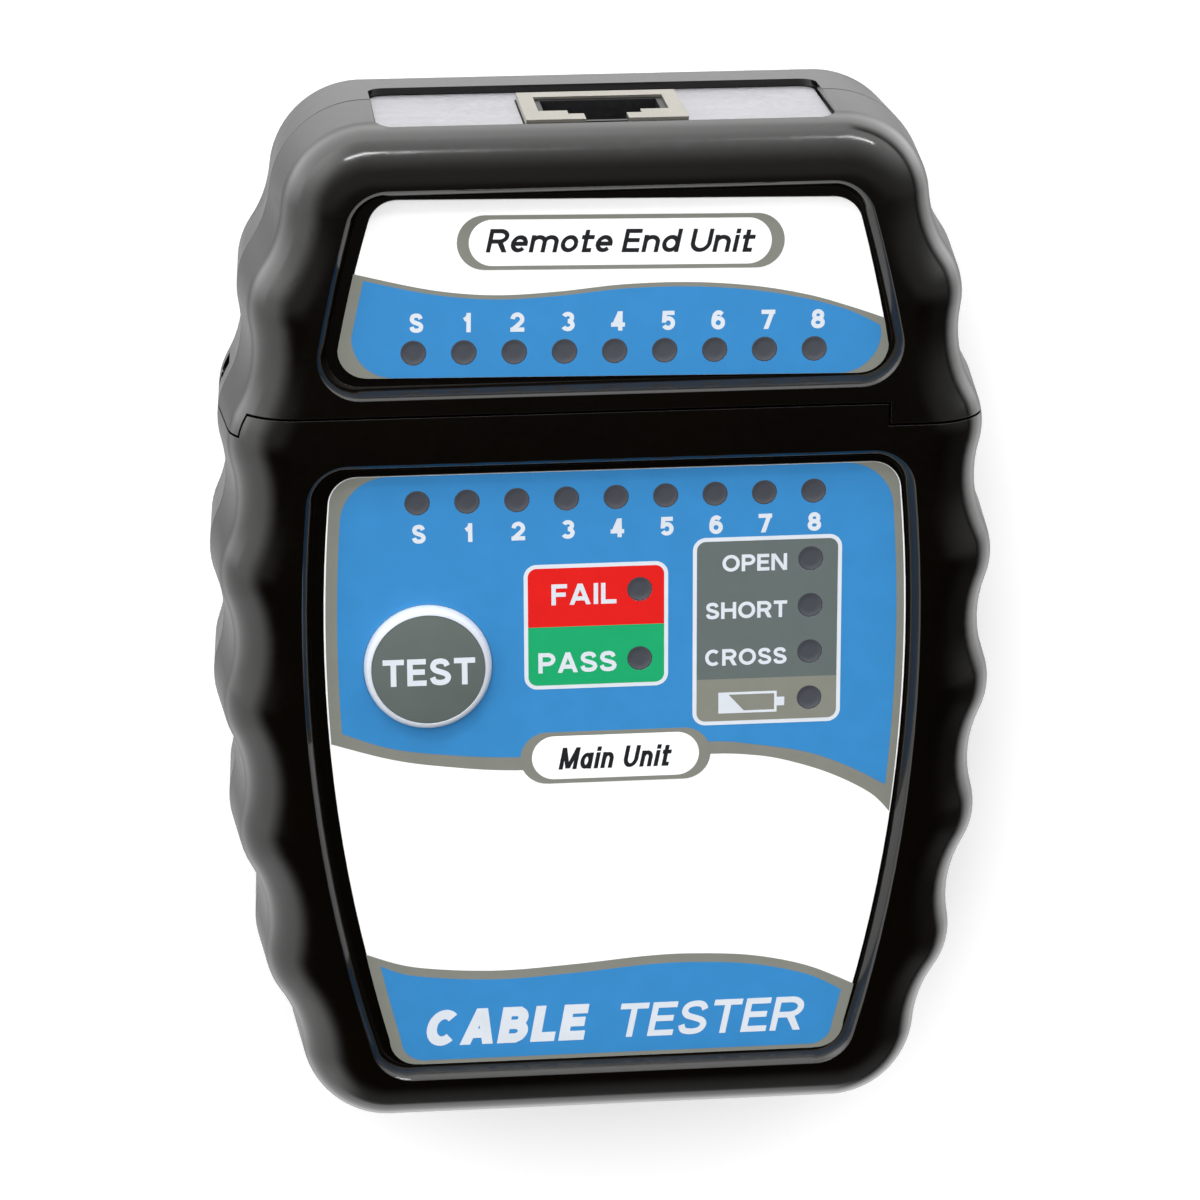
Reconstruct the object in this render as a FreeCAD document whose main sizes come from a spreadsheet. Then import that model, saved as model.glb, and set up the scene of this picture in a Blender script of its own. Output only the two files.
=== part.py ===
import FreeCAD, Part
import math
import os
import Sketcher

# Network cable tester: a master unit and a remote terminator that slides onto its top end.
# Millimetres. The case lies on its back: +X right, +Y towards the remote's socket, +Z out of the
# labelled front. The origin is the middle of the back face.

V = FreeCAD.Vector
doc = FreeCAD.newDocument("network_cable_tester")
sheet = doc.addObject("Spreadsheet::Sheet", "sizes")
nodes = []


class Size:
    """A number from the sheet, or one worked out from it, with the expression that gives it."""

    def __init__(self, value, text):
        self.value = float(value)
        self.text = text

    def __add__(self, other):
        other = sized(other)
        return Size(self.value + other.value, f"({self.text} + {other.text})")

    def __sub__(self, other):
        other = sized(other)
        return Size(self.value - other.value, f"({self.text} - {other.text})")

    def __mul__(self, other):
        other = sized(other)
        return Size(self.value * other.value, f"({self.text} * {other.text})")

    def __truediv__(self, other):
        other = sized(other)
        return Size(self.value / other.value, f"({self.text} / {other.text})")

    def __neg__(self):
        return Size(-self.value, f"(-{self.text})")

    __radd__ = __add__
    __rmul__ = __mul__


def sized(number):
    """The number as a Size, whether or not it is one already."""
    return number if isinstance(number, Size) else Size(number, f"({number:g})")


def cell(alias, value, meaning):
    """Writes a driving dimension into the sheet's next row and returns it as a Size."""
    cell.row += 1
    sheet.set(f"A{cell.row}", meaning)
    sheet.set(f"B{cell.row}", str(value))
    sheet.setAlias(f"B{cell.row}", alias)
    return Size(value, f"sizes.{alias}")


cell.row = 0

# Case
case_length = cell("case_length", 108, "Case length, end to end")
case_half_wide = cell("case_half_wide", 41, "Half width of the case over its middle crests")
case_thick = cell("case_thick", 29, "Case thickness")
parting = cell("parting_height", 13.8, "Height of the joint between rear and front shells")
side_radius = cell("side_radius", 172, "Radius of the arc that the grip crests lie on")
grip_pitch = cell("grip_pitch", 14.75, "Distance between grip crests along that arc")
grip_depth = cell("grip_depth", 1.4, "Depth of each grip hollow")
crest_radius = cell("crest_radius", 8.5, "Radius of the grip crests")
corner_radius = cell("corner_radius", 10, "Radius of the case corners in plan")
front_draft = cell("front_draft", 1.3, "How far the side walls lean in up to the front")
rear_draft = cell("rear_draft", 0.4, "How far the side walls lean in down to the back")
end_draft = cell("end_draft", 0.3, "How far the end walls lean in, each way")
front_round = cell("front_round", 5.5, "Rounding of the edges round the front")
rear_round = cell("rear_round", 2.5, "Rounding of the edges round the back")
joint_chamfer = cell("joint_chamfer", 0.2, "Chamfer along the joint between the shells")
floor_thick = cell("floor_thick", 2, "Thickness of the rear wall and of the end walls")
ceiling = cell("ceiling_height", 25, "Height of the inside of the front wall")
wall_inset = cell("wall_inset", 4, "Inside of the side walls, in from the crest arc")
cavity_corner = cell("cavity_corner", 7, "Corner radius inside the case")
reach = cell("cutter_reach", 60, "How far a cutting block reaches past the case")
past = cell("cutter_past", 1, "How far a cut runs past the face that it opens")
bite = cell("bite", 0.5, "How far posts and ribs run into the wall that they stand on")
rib_left = cell("rib_left", -18, "Left rib over the battery")
rib_right = cell("rib_right", 12, "Right rib over the battery")
rib_low = cell("rib_low", -50, "Lower end of those ribs")
rib_high = cell("rib_high", -25, "Upper end of those ribs")
divider_left = cell("divider_left", -26.8, "Left end of the wall between battery and board")
divider_right = cell("divider_right", 19.5, "Right end of that wall")

# Joint between the two units
seam_main = cell("seam_main", 22.2, "End face of the master unit")
seam_gap = cell("seam_gap", 0.25, "Gap between the docked units")
tongue_long = cell("tongue_long", 2.3, "How far the master's front tongue stands past its end face")
tongue_right = cell("tongue_right", 28.2, "Right end of the tongue")
tongue_bottom = cell("tongue_bottom", 26.4, "Underside of the tongue")
remote_wall = cell("remote_wall", 27, "Inside of the remote's docking wall")
rail_height = cell("rail_height", 7, "Height of the docking rail's middle above the back")
rail_neck = cell("rail_neck", 1.6, "Thickness of the rail's neck")
rail_head = cell("rail_head", 4, "Width of the rail's head")
rail_neck_long = cell("rail_neck_long", 1.7, "Length of the rail's neck")
rail_head_thick = cell("rail_head_thick", 1.4, "Thickness of the rail's head")
rail_clear = cell("rail_clear", 0.2, "Running clearance of the rail in its slot")
rail_inner = cell("rail_inner", 11.5, "Inner end of each rail, beside the socket")
rail_outer = cell("rail_outer", 31, "Outer end of each rail")
rail_stop = cell("rail_stop", 0.4, "Gap between the rail's end and the closed end of its slot")

# Recessed labels
label_top = cell("label_top", 27.4, "Height of the labels' printed face")
label_thick = cell("label_thick", 0.2, "Thickness of the label film")
label_corner = cell("label_corner", 3, "Corner radius of the labels")
label_shift = cell("label_shift", 0.5, "Labels and lamps sit this far right of the middle")
recess_corner = cell("recess_corner", 3.4, "Corner radius of the recess floors")
recess_side_margin = cell("recess_side_margin", 0.8, "Recess floor, out from a label's sides")
recess_low_margin = cell("recess_low_margin", 0.15, "Recess floor, below the master label")
recess_high_margin = cell("recess_high_margin", 0.65, "Recess floor, above a label")
remote_low_margin = cell("remote_low_margin", 0.5, "Recess floor, below the remote's label")
lip_grow = cell("lip_grow", 0.7, "Recess lip, out from the recess floor")
lip_chamfer = cell("lip_chamfer", 0.3, "Chamfer round the recess lip")
main_label_inset = cell("main_label_inset", 10.9, "Master label's sides, in from the crest arc")
main_label_low = cell("main_label_low", -47, "Lower edge of the master label")
main_label_high = cell("main_label_high", 18, "Upper edge of the master label")
remote_label_inset = cell("remote_label_inset", 10.1, "Remote label's sides, in from the crest arc")
remote_label_low = cell("remote_label_low", 27.9, "Lower edge of the remote label")
remote_label_high = cell("remote_label_high", 46.2, "Upper edge of the remote label")
remote_label_turn = cell("remote_label_turn", -1, "Degrees by which the remote label sits askew")

# Lamps
lamp_pitch = cell("lamp_pitch", 5.08, "Distance between the wire lamps")
lamp_window = cell("lamp_window", 1.28, "Radius of a lamp window in the label")
lamp_hole = cell("lamp_hole", 1.1, "Radius of the hole under a lamp window")
lamp_radius = cell("lamp_radius", 1.5, "Radius of a lamp")
lamp_flange = cell("lamp_flange", 1.9, "Radius of a lamp's flange")
lamp_flange_thick = cell("lamp_flange_thick", 1, "Thickness of a lamp's flange")
lamp_tall = cell("lamp_tall", 5.3, "Height of a lamp")
main_row = cell("main_row", 15.1, "Row of wire lamps on the master")
remote_row = cell("remote_row", 30.5, "Row of wire lamps on the remote")
verdict_column = cell("verdict_column", 2.9, "FAIL and PASS lamps, right of the middle")
fail_row = cell("fail_row", 5.15, "FAIL lamp")
pass_row = cell("pass_row", -2.35, "PASS lamp")
fault_column = cell("fault_column", 20.6, "Fault lamps, right of the middle")
fault_row = cell("fault_row", 7.85, "Uppermost fault lamp")
fault_pitch = cell("fault_pitch", 5.05, "Distance between the fault lamps")
lead_thick = cell("lead_thick", 0.5, "Thickness of a lamp lead")
lead_gap = cell("lead_gap", 2.54, "Distance between the two leads of a lamp")

# TEST button
button_x = cell("button_x", -19, "Middle of the TEST button")
button_y = cell("button_y", -2.43, "Middle of the TEST button")
button_radius = cell("button_radius", 6.62, "Radius of the button cap")
button_top = cell("button_top", 28.65, "Top of the button cap")
button_hole = cell("button_hole", 6.75, "Radius of the button's hole")
button_flange = cell("button_flange", 7.9, "Radius of the flange that keeps the button in")
button_disc = cell("button_disc", 5.85, "Radius of the printed disc")
disc_thick = cell("disc_thick", 0.3, "Thickness of the printed disc")
button_hollow = cell("button_hollow", 5.5, "Radius of the hollow under the cap")
button_stem = cell("button_stem", 2, "Radius of the stem that meets the switch")
button_roof = cell("button_roof", 26.9, "Height of the hollow's roof")
button_bevel = cell("button_bevel", 0.6, "Width of the bevel round the cap's rim")
button_drop = cell("button_drop", 1.1, "Height of the bevel round the cap's rim")
button_slack = cell("button_slack", 0.1, "Gap between the flange and the front wall")
button_flange_thick = cell("button_flange_thick", 1.5, "Thickness of the flange")
switch_side = cell("switch_side", 6, "Side of the switch housing")
switch_tall = cell("switch_tall", 3.5, "Height of the switch housing")
plunger_radius = cell("plunger_radius", 1.75, "Radius of the switch plunger")
plunger_low = cell("plunger_low", 2, "Foot of the plunger above the board")
plunger_top = cell("plunger_top", 5, "Top of the plunger above the board")
plunger_clear = cell("plunger_clear", 0.1, "Clearance round the plunger")
switch_floor = cell("switch_floor", 1, "Floor of the switch housing's bore above the board")

# Circuit boards
board_thick = cell("board_thick", 1.6, "Thickness of the circuit boards")
remote_lamp_gap = cell("remote_lamp_gap", 0.2, "Gap between the remote's lamps and its front wall")
resistor_long = cell("resistor_long", 3.2, "Length of a chip resistor")
resistor_wide = cell("resistor_wide", 1.6, "Width of a chip resistor")
resistor_tall = cell("resistor_tall", 0.55, "Height of a chip resistor")
main_resistor_row = cell("main_resistor_row", 10.5, "Lower edge of the master's resistors")
remote_resistor_row = cell("remote_resistor_row", 34, "Lower edge of the remote's resistors")
chip_left = cell("chip_left", -19, "Left end of the controller chip")
chip_right = cell("chip_right", -1, "Right end of the controller chip")
chip_low_edge = cell("chip_low_edge", -9.5, "Lower edge of the controller chip")
chip_high_edge = cell("chip_high_edge", -2, "Upper edge of the controller chip")
chip_thick = cell("chip_thick", 2.3, "Thickness of the controller chip")
chip_gap = cell("chip_gap", 0.15, "Gap between the chip and the board")
chip_corner = cell("chip_corner", 0.2, "Corner radius of the chip")
pin_first = cell("pin_first", 0.55, "First pin, in from the chip's left end")
pin_pitch = cell("pin_pitch", 1.27, "Distance between the chip's pins")
pin_wide = cell("pin_wide", 0.4, "Width of a pin")
pin_thick = cell("pin_thick", 0.25, "Thickness of a pin")
pin_out = cell("pin_out", 1.4, "How far a pin reaches past the chip")
pin_drop = cell("pin_drop", 1.2, "How far below the board a pin leaves the chip")
can_radius = cell("can_radius", 3.2, "Radius of the capacitor")
can_x = cell("can_x", 17, "Middle of the capacitor")
can_y = cell("can_y", 1.5, "Middle of the capacitor")
can_tall = cell("can_tall", 5.8, "Height of the capacitor")
main_board = cell("main_board", 17.9, "Underside of the master's board")
main_board_half = cell("main_board_half", 27.5, "Half width of the master's board")
main_board_low = cell("main_board_low", -15.5, "Lower edge of the master's board")
main_board_high = cell("main_board_high", 19.5, "Upper edge of the master's board")
remote_board = cell("remote_board", 9.9, "Underside of the remote's board")
remote_board_half = cell("remote_board_half", 24, "Half width of the remote's board")
remote_board_low = cell("remote_board_low", 28.2, "Lower edge of the remote's board")
remote_board_high = cell("remote_board_high", 50.3, "Upper edge of the remote's board")

# Screws
post_upper_x = cell("post_upper_x", 32, "Master's upper case screws, either side of the middle")
post_upper_y = cell("post_upper_y", 14, "Master's upper case screws")
post_lower_x = cell("post_lower_x", 30.5, "Master's lower case screws, either side of the middle")
post_lower_y = cell("post_lower_y", -19.5, "Master's lower case screws")
post_remote_x = cell("post_remote_x", 29, "Remote's case screws, either side of the middle")
post_remote_y = cell("post_remote_y", 37.5, "Remote's case screws")
fix_upper_x = cell("fix_upper_x", 25, "Master's upper board screws, either side of the middle")
fix_upper_y = cell("fix_upper_y", 16.4, "Master's upper board screws")
fix_lower_x = cell("fix_lower_x", 24.5, "Master's lower board screws, either side of the middle")
fix_lower_y = cell("fix_lower_y", -12.6, "Master's lower board screws")
fix_remote_x = cell("fix_remote_x", 20.8, "Remote's board screws, either side of the middle")
fix_remote_y = cell("fix_remote_y", 45, "Remote's board screws")
post_radius = cell("post_radius", 4, "Radius of the case screw posts")
screw_seat = cell("screw_seat", 3.2, "Height of the case screws' seats")
screw_head = cell("screw_head", 2.5, "Radius of a case screw's head")
screw_head_thick = cell("screw_head_thick", 1.9, "Thickness of a case screw's head")
screw_shank = cell("screw_shank", 1.25, "Radius of a case screw's shank")
screw_long = cell("screw_long", 17, "Length of a case screw under its head")
screw_clear = cell("screw_clear", 0.2, "Clearance round a screw where it passes through")
thread_clear = cell("thread_clear", 0.02, "Clearance round a screw where it bites")
boss_radius = cell("boss_radius", 3.2, "Radius of the front shells' screw bosses")
board_screw_head = cell("board_screw_head", 2, "Radius of a board screw's head")
board_screw_shank = cell("board_screw_shank", 0.9, "Radius of a board screw's shank")
board_screw_long = cell("board_screw_long", 5.5, "Length of a board screw under its head")
board_screw_thick = cell("board_screw_thick", 1.4, "Thickness of a board screw's head")
standoff_radius = cell("standoff_radius", 2.4, "Radius of the posts that carry the boards")
slot_wide = cell("slot_wide", 0.7, "Width of the cross in a screw head")
slot_deep = cell("slot_deep", 0.8, "Depth of the cross in a screw head")
slot_arm = cell("slot_arm", 0.6, "Half length of the cross, as a share of the head's radius")

# Modular sockets
jack_wide = cell("jack_wide", 16.3, "Width of the socket's shield")
jack_tall = cell("jack_tall", 13.4, "Height of the socket's shield")
jack_deep = cell("jack_deep", 16, "Depth of the socket")
jack_sheet = cell("jack_sheet", 0.3, "Thickness of the shield's sheet")
jack_window_wide = cell("jack_window_wide", 13.2, "Width of the window in the shield")
jack_window_low = cell("jack_window_low", -4.4, "Lower edge of that window")
jack_window_high = cell("jack_window_high", 2.6, "Upper edge of that window")
plug_wide = cell("plug_wide", 11.9, "Width of the plug space")
plug_low = cell("plug_low", -4, "Floor of the plug space")
plug_high = cell("plug_high", 2.7, "Roof of the plug space")
plug_deep = cell("plug_deep", 12.5, "Depth of the plug space")
contact_pitch = cell("contact_pitch", 1.02, "Distance between contacts")
contact_thick = cell("contact_thick", 0.4, "Thickness of a contact")
contact_knee = cell("contact_knee", 9.5, "Depth at which the contacts stand highest")
contact_rise = cell("contact_rise", -2.4, "Height of the contacts there")
trough_start = cell("trough_start", 3, "Depth at which the contact trough starts")
trough_low = cell("trough_low", -5.4, "Floor of the contact trough")
latch_wide = cell("latch_wide", 7.4, "Width of the latch step in the window")
latch_step = cell("latch_step", 4.2, "Top of the latch step")
latch_slit = cell("latch_slit", 4.3, "Width of the slit through the front bar")
latch_ease = cell("latch_ease", 0.3, "Latch channel, in from each side of the latch step")
latch_drop = cell("latch_drop", 0.2, "Latch channel's roof, below the top of the latch step")
catch_deep = cell("catch_deep", 8, "Depth of the channel behind the slit")
catch_roof = cell("catch_roof", 1, "Roof over that channel")
housing_gap = cell("housing_gap", 0.05, "Gap between the insulating block and the shield")
housing_short = cell("housing_short", 0.1, "How far the insulating block stops short at the rear")
trough_side = cell("trough_side", 0.4, "Trough, out from the outermost contacts")
contact_gap = cell("contact_gap", 0.1, "Gap between the contacts and the trough's ends")
contact_foot = cell("contact_foot", 0.05, "Gap between the contacts and the trough's floor")
contact_fall = cell("contact_fall", 1, "How far the contacts' tips drop again")
jack_hole_clear = cell("jack_hole_clear", 0.15, "Clearance of the case round a socket")
remote_jack_face = cell("remote_jack_face", 53.85, "Face of the remote's socket")
main_jack_face = cell("main_jack_face", 22.05, "Face of the master's socket")

# Recess in the remote's end
end_recess_half = cell("end_recess_half", 23.2, "Half width of the end recess")
end_recess_low = cell("end_recess_low", 7.7, "Rear edge of the end recess")
end_recess_high = cell("end_recess_high", 25.2, "Front edge of the end recess")
end_recess_deep = cell("end_recess_deep", 1.2, "Depth of the end recess")
end_recess_corner = cell("end_recess_corner", 1.8, "Corner radius of the end recess")
end_plate_thick = cell("end_plate_thick", 0.3, "Thickness of the metal label in the recess")
end_plate_margin = cell("end_plate_margin", 0.2, "Margin round that label")
end_wall_inner = cell("end_wall_inner", 51, "Inside of the remote's end wall")

# Battery and its door
battery_left = cell("battery_left", -25.9, "Left end of the battery")
battery_long = cell("battery_long", 46.4, "Length of the battery's body")
battery_wide = cell("battery_wide", 26.5, "Width of the battery")
battery_thick = cell("battery_thick", 17.5, "Thickness of the battery")
battery_y = cell("battery_y", -37.2, "Middle of the battery along the case")
battery_bottom = cell("battery_bottom", 3, "Rear face of the battery")
battery_corner = cell("battery_corner", 2.5, "Edge rounding of the battery")
terminal_gap = cell("terminal_gap", 12.7, "Distance between the battery's terminals")
terminal_long = cell("terminal_long", 2.1, "Length of the terminals")
terminal_small = cell("terminal_small", 2.9, "Radius of the smaller terminal")
terminal_large = cell("terminal_large", 4.1, "Radius of the larger terminal")
snap_gap = cell("snap_gap", 0.3, "Gap between the battery and its snap")
snap_thick = cell("snap_thick", 4, "Thickness of the battery snap")
snap_wide = cell("snap_wide", 25, "Width of the battery snap")
snap_tall = cell("snap_tall", 12.5, "Height of the battery snap")
wire_radius = cell("wire_radius", 0.65, "Radius of the battery wires")
wire_red_in = cell("wire_red_in", 1.2, "Red wire, in from the snap's battery side")
wire_black_in = cell("wire_black_in", 3, "Black wire, in from the snap's battery side")
wire_bend = cell("wire_bend", 3.6, "Bend radius of the battery wires")
wire_height = cell("wire_height", 11.5, "Height at which the wires leave the snap")
wire_end_row = cell("wire_end_row", -8.5, "Where the wires meet the board")
wall_row = cell("wall_row", -21.7, "Middle of the wall between battery and board")
wall_thick = cell("wall_thick", 1.2, "Thickness of that wall and of the battery ribs")
wall_tall = cell("wall_tall", 17, "Top of that wall")
rib_gap = cell("rib_gap", 0.2, "Gap between the battery and the ribs over it")
door_half = cell("door_half", 27.3, "Half width of the battery door")
door_high = cell("door_high", -22.5, "Upper edge of the battery door")
door_gap = cell("door_gap", 0.15, "Gap round the battery door")
door_end_tall = cell("door_end_tall", 10, "Height of the door's turned-up end")
door_end_thick = cell("door_end_thick", 1.8, "Thickness of the door's turned-up end")
door_tongue = cell("door_tongue", 1.1, "How far the door's tongues reach into their grooves")
door_tongue_low = cell("door_tongue_low", 1, "Rear face of the door's tongues")
door_tongue_start = cell("door_tongue_start", -46, "Lower end of the door's tongues")
door_tongue_short = cell("door_tongue_short", 0.5, "Tongues' upper end, below the door's upper edge")
grip_first = cell("grip_first", 5, "First finger groove, below the door's upper edge")
grip_wide = cell("grip_wide", 8, "Half length of the door's finger grooves")
grip_step = cell("grip_step", 2, "Distance between the door's finger grooves")
grip_groove = cell("grip_groove", 0.9, "Width of a finger groove")
grip_groove_deep = cell("grip_groove_deep", 0.5, "Depth of a finger groove")
guide_inner = cell("guide_inner", 26.2, "Inner edge of the guides over the tongues")
guide_outer = cell("guide_outer", 30.5, "Outer edge of the guides over the tongues")
guide_start = cell("guide_start", -46.5, "Lower end of the guides")
guide_thick = cell("guide_thick", 1.3, "Thickness of the guides over the door's tongues")
foam_thick = cell("foam_thick", 0.9, "Thickness of the foam pad on the door")
foam_half = cell("foam_half", 15, "Half width of the foam pad")
foam_low = cell("foam_low", -48, "Lower edge of the foam pad")
foam_high = cell("foam_high", -26, "Upper edge of the foam pad")
foam_corner = cell("foam_corner", 1.5, "Corner radius of the foam pad")
doc.recompute()

ROUND_STEPS = 6
WIRE_LAMPS = 9
FAULT_LAMPS = 4
CONTACTS = 8
CHIP_PINS = 14
FINGER_GROOVES = 5
half_length = case_length / 2
label_bottom = label_top - label_thick
seam_remote = seam_main + seam_gap
main_board_top = main_board + board_thick
remote_board_top = remote_board + board_thick
lamp_first = label_shift - lamp_pitch * 4


def either_side(x, y):
    """The spot at x, y and its mirror image on the left."""
    return [(x, y), (-x, y)]


case_posts_main = either_side(post_upper_x, post_upper_y) + either_side(post_lower_x, post_lower_y)
case_posts_remote = either_side(post_remote_x, post_remote_y)
board_posts_main = either_side(fix_upper_x, fix_upper_y) + either_side(fix_lower_x, fix_lower_y)
board_posts_remote = either_side(fix_remote_x, fix_remote_y)


# Part helpers


def box(name, x, y, z):
    """A block between two sizes on each axis."""
    block = doc.addObject("Part::Box", name)
    for side, axis, (low, high) in zip(("Length", "Width", "Height"), "xyz", (x, y, z)):
        block.setExpression(side, (sized(high) - low).text)
        block.setExpression(f".Placement.Base.{axis}", sized(low).text)
    return block


def cylinder(name, radius, x, y, z):
    """An upright cylinder at x, y between two heights."""
    rod = doc.addObject("Part::Cylinder", name)
    rod.setExpression("Radius", sized(radius).text)
    rod.setExpression("Height", (sized(z[1]) - z[0]).text)
    for axis, place in zip("xyz", (x, y, z[0])):
        rod.setExpression(f".Placement.Base.{axis}", sized(place).text)
    return rod


def cylinders(name, radius, spots, z):
    """Upright cylinders of one radius, one at each spot."""
    return [cylinder(f"{name}_{i}", radius, x, y, z) for i, (x, y) in enumerate(spots)]


def fuse(name, parts):
    """All the parts as one."""
    if len(parts) == 1:
        return parts[0]
    whole = doc.addObject("Part::MultiFuse", name)
    whole.Shapes = parts
    return whole


def cut(name, base, tools):
    """The base without the tools."""
    left = doc.addObject("Part::Cut", name)
    left.Base = base
    left.Tool = fuse(f"{name}_tools", tools)
    return left


def common(name, base, tool):
    """What the base and the tool share."""
    shared = doc.addObject("Part::Common", name)
    shared.Base = base
    shared.Tool = tool
    return shared


def node(label, piece):
    """Names a finished sub-part. Its label is also its file's name."""
    piece.Label = label
    nodes.append(piece)
    return piece


# PartDesign helpers


def new_body(name):
    """An empty body, which may hold separate solids."""
    body = doc.addObject("PartDesign::Body", name)
    body.AllowCompound = True
    return body


def origin_part(body, role):
    """One of a body's own origin planes or axes."""
    return [f for f in body.Origin.OriginFeatures if f.Role == role][0]


def sketch_on(body, name, plane, height):
    """A sketch on one of the body's own planes, moved along its normal."""
    drawing = body.newObject("Sketcher::SketchObject", name)
    drawing.AttachmentSupport = [(origin_part(body, plane), "")]
    drawing.MapMode = "FlatFace"
    drawing.setExpression(".AttachmentOffset.Base.z", sized(height).text)
    return drawing


def bind(drawing, kind, refs, size):
    """A dimension of the sketch, bound to the sheet."""
    index = drawing.addConstraint(Sketcher.Constraint(kind, *refs, size.value))
    drawing.setExpression(f"Constraints[{index}]", size.text)


def polygon(drawing, corners):
    """A closed outline of straight lines through the corners, each placed from the sheet."""
    first = drawing.GeometryCount
    spots = [(sized(x), sized(y)) for x, y in corners]
    points = [V(x.value, y.value, 0) for x, y in spots]
    for start, end in zip(points, points[1:] + points[:1]):
        drawing.addGeometry(Part.LineSegment(start, end))
    for i, (x, y) in enumerate(spots):
        line = first + i
        before = first + (i - 1) % len(spots)
        drawing.addConstraint(Sketcher.Constraint("Coincident", before, 2, line, 1))
        bind(drawing, "DistanceX", (-1, 1, line, 1), x)
        bind(drawing, "DistanceY", (-1, 1, line, 1), y)


def rectangle(drawing, x, y):
    """A rectangle between two sizes on each sketch axis."""
    polygon(drawing, [(x[0], y[0]), (x[1], y[0]), (x[1], y[1]), (x[0], y[1])])


def circle(drawing, x, y, radius):
    """A circle placed and sized from the sheet."""
    x, y, radius = sized(x), sized(y), sized(radius)
    index = drawing.addGeometry(Part.Circle(V(x.value, y.value, 0), V(0, 0, 1), radius.value))
    bind(drawing, "DistanceX", (-1, 1, index, 3), x)
    bind(drawing, "DistanceY", (-1, 1, index, 3), y)
    bind(drawing, "Radius", (index,), radius)


def pad(body, drawing, length, name):
    """Raises a sketch along its normal."""
    feature = body.newObject("PartDesign::Pad", name)
    feature.Profile = drawing
    feature.setExpression("Length", sized(length).text)
    drawing.Visibility = False
    return feature


def pocket(body, drawing, length, name):
    """Cuts a sketch into the solid along its normal."""
    feature = body.newObject("PartDesign::Pocket", name)
    feature.Profile = drawing
    feature.Reversed = True
    feature.setExpression("Length", sized(length).text)
    before = feature.BaseFeature.Shape.Volume if feature.BaseFeature else None
    doc.recompute()
    if before is not None and feature.Shape.Volume >= before:
        raise RuntimeError(f"{name} cuts nothing")
    return feature


def loft(body, sections, name, straight=True):
    """A solid through the sketches, with straight or with curved walls between them."""
    feature = body.newObject("PartDesign::AdditiveLoft", name)
    feature.Profile = sections[0]
    feature.Sections = sections[1:]
    feature.Ruled = straight
    return feature


def row_of(body, feature, axis, step, count, name):
    """Repeats a feature along one of the body's axes."""
    pattern = body.newObject("PartDesign::LinearPattern", name)
    pattern.Originals = [feature]
    pattern.Direction = (origin_part(body, axis), [""])
    pattern.setExpression("Length", (step * (count - 1)).text)
    pattern.Occurrences = count
    body.Tip = pattern
    return pattern


def turned(body, corners, x, y, name):
    """A solid turned about the upright axis through x, y. The corners are radius and height."""
    drawing = sketch_on(body, f"{name}_profile", "XZ_Plane", -sized(y))
    polygon(drawing, [(sized(x) + r, z) for r, z in corners])
    axis = drawing.addGeometry(
        Part.LineSegment(V(sized(x).value, 0, 0), V(sized(x).value, 1, 0)), True
    )
    drawing.addConstraint(Sketcher.Constraint("Vertical", axis))
    bind(drawing, "DistanceX", (-1, 1, axis, 1), sized(x))
    feature = body.newObject("PartDesign::Revolution", name)
    feature.Profile = drawing
    feature.ReferenceAxis = (drawing, ["Axis0"])
    feature.Angle = 360
    return feature


# Outlines in plan


def polar(centre, point):
    """Direction from the centre to the point."""
    return math.atan2(point.y - centre.y, point.x - centre.x)


def towards(start, end, distance):
    """The point that lies a distance from start on the way to end."""
    step = end - start
    return start + step * (distance / step.Length)


def arc(centre, radius, start, end):
    """The arc that runs anticlockwise between two directions."""
    if end < start:
        end += 2 * math.pi
    return Part.ArcOfCircle(Part.Circle(centre, V(0, 0, 1), radius), start, end)


def grip_circles():
    """Circles of the right-hand side's hollows and crests, going up: (centre, radius, convex)."""
    middle = V(case_half_wide.value - side_radius.value, 0, 0)
    crest = side_radius.value - crest_radius.value
    valley = side_radius.value - grip_depth.value
    half_turn = grip_pitch.value / 2 / side_radius.value
    lean = math.cos(half_turn)
    hollow = (crest_radius.value**2 - crest**2 - valley**2 + 2 * crest * valley * lean) / (
        2 * (valley - crest * lean - crest_radius.value)
    )
    circles = []
    for i in range(-6, 7):
        way = V(math.cos(i * half_turn), math.sin(i * half_turn), 0)
        if i % 2:
            circles.append((middle + way * crest, crest_radius.value, True))
        else:
            circles.append((middle + way * (valley + hollow), hollow, False))
    return circles


def with_corners(circles, side_inset, end_inset):
    """The side's circles between the two corner circles that touch the last hollows."""
    last, hollow, _ = circles[-1]
    corner_y = half_length.value - end_inset - (corner_radius.value - side_inset)
    gap = math.sqrt((hollow + corner_radius.value) ** 2 - (last.y - corner_y) ** 2)
    upper = (V(last.x - gap, corner_y, 0), corner_radius.value, True)
    lower = (V(last.x - gap, -corner_y, 0), corner_radius.value, True)
    return [lower, *circles, upper]


def case_outline(drawing, side_inset, end_inset):
    """The scalloped outline of the case, its sides and ends moved inwards."""
    circles = with_corners(grip_circles(), side_inset, end_inset)
    end_x = circles[0][0].x
    end_y = half_length.value - end_inset
    radii = [r - side_inset if convex else r + side_inset for _, r, convex in circles]
    marks = [V(end_x, -end_y, 0)]
    for (here, _, _), (after, _, _), radius in zip(circles, circles[1:], radii):
        marks.append(towards(here, after, radius))
    marks.append(V(end_x, end_y, 0))
    right, left = [], []
    for (centre, _, convex), radius, start, end in zip(circles, radii, marks, marks[1:]):
        low, high = polar(centre, start), polar(centre, end)
        if not convex:
            low, high = high, low
        right.append(arc(centre, radius, low, high))
        left.append(arc(V(-centre.x, centre.y, 0), radius, math.pi - high, math.pi - low))
    drawing.addGeometry(Part.LineSegment(V(-end_x, -end_y, 0), marks[0]))
    drawing.addGeometry(right)
    drawing.addGeometry(Part.LineSegment(marks[-1], V(-end_x, end_y, 0)))
    drawing.addGeometry(left[::-1])


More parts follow.
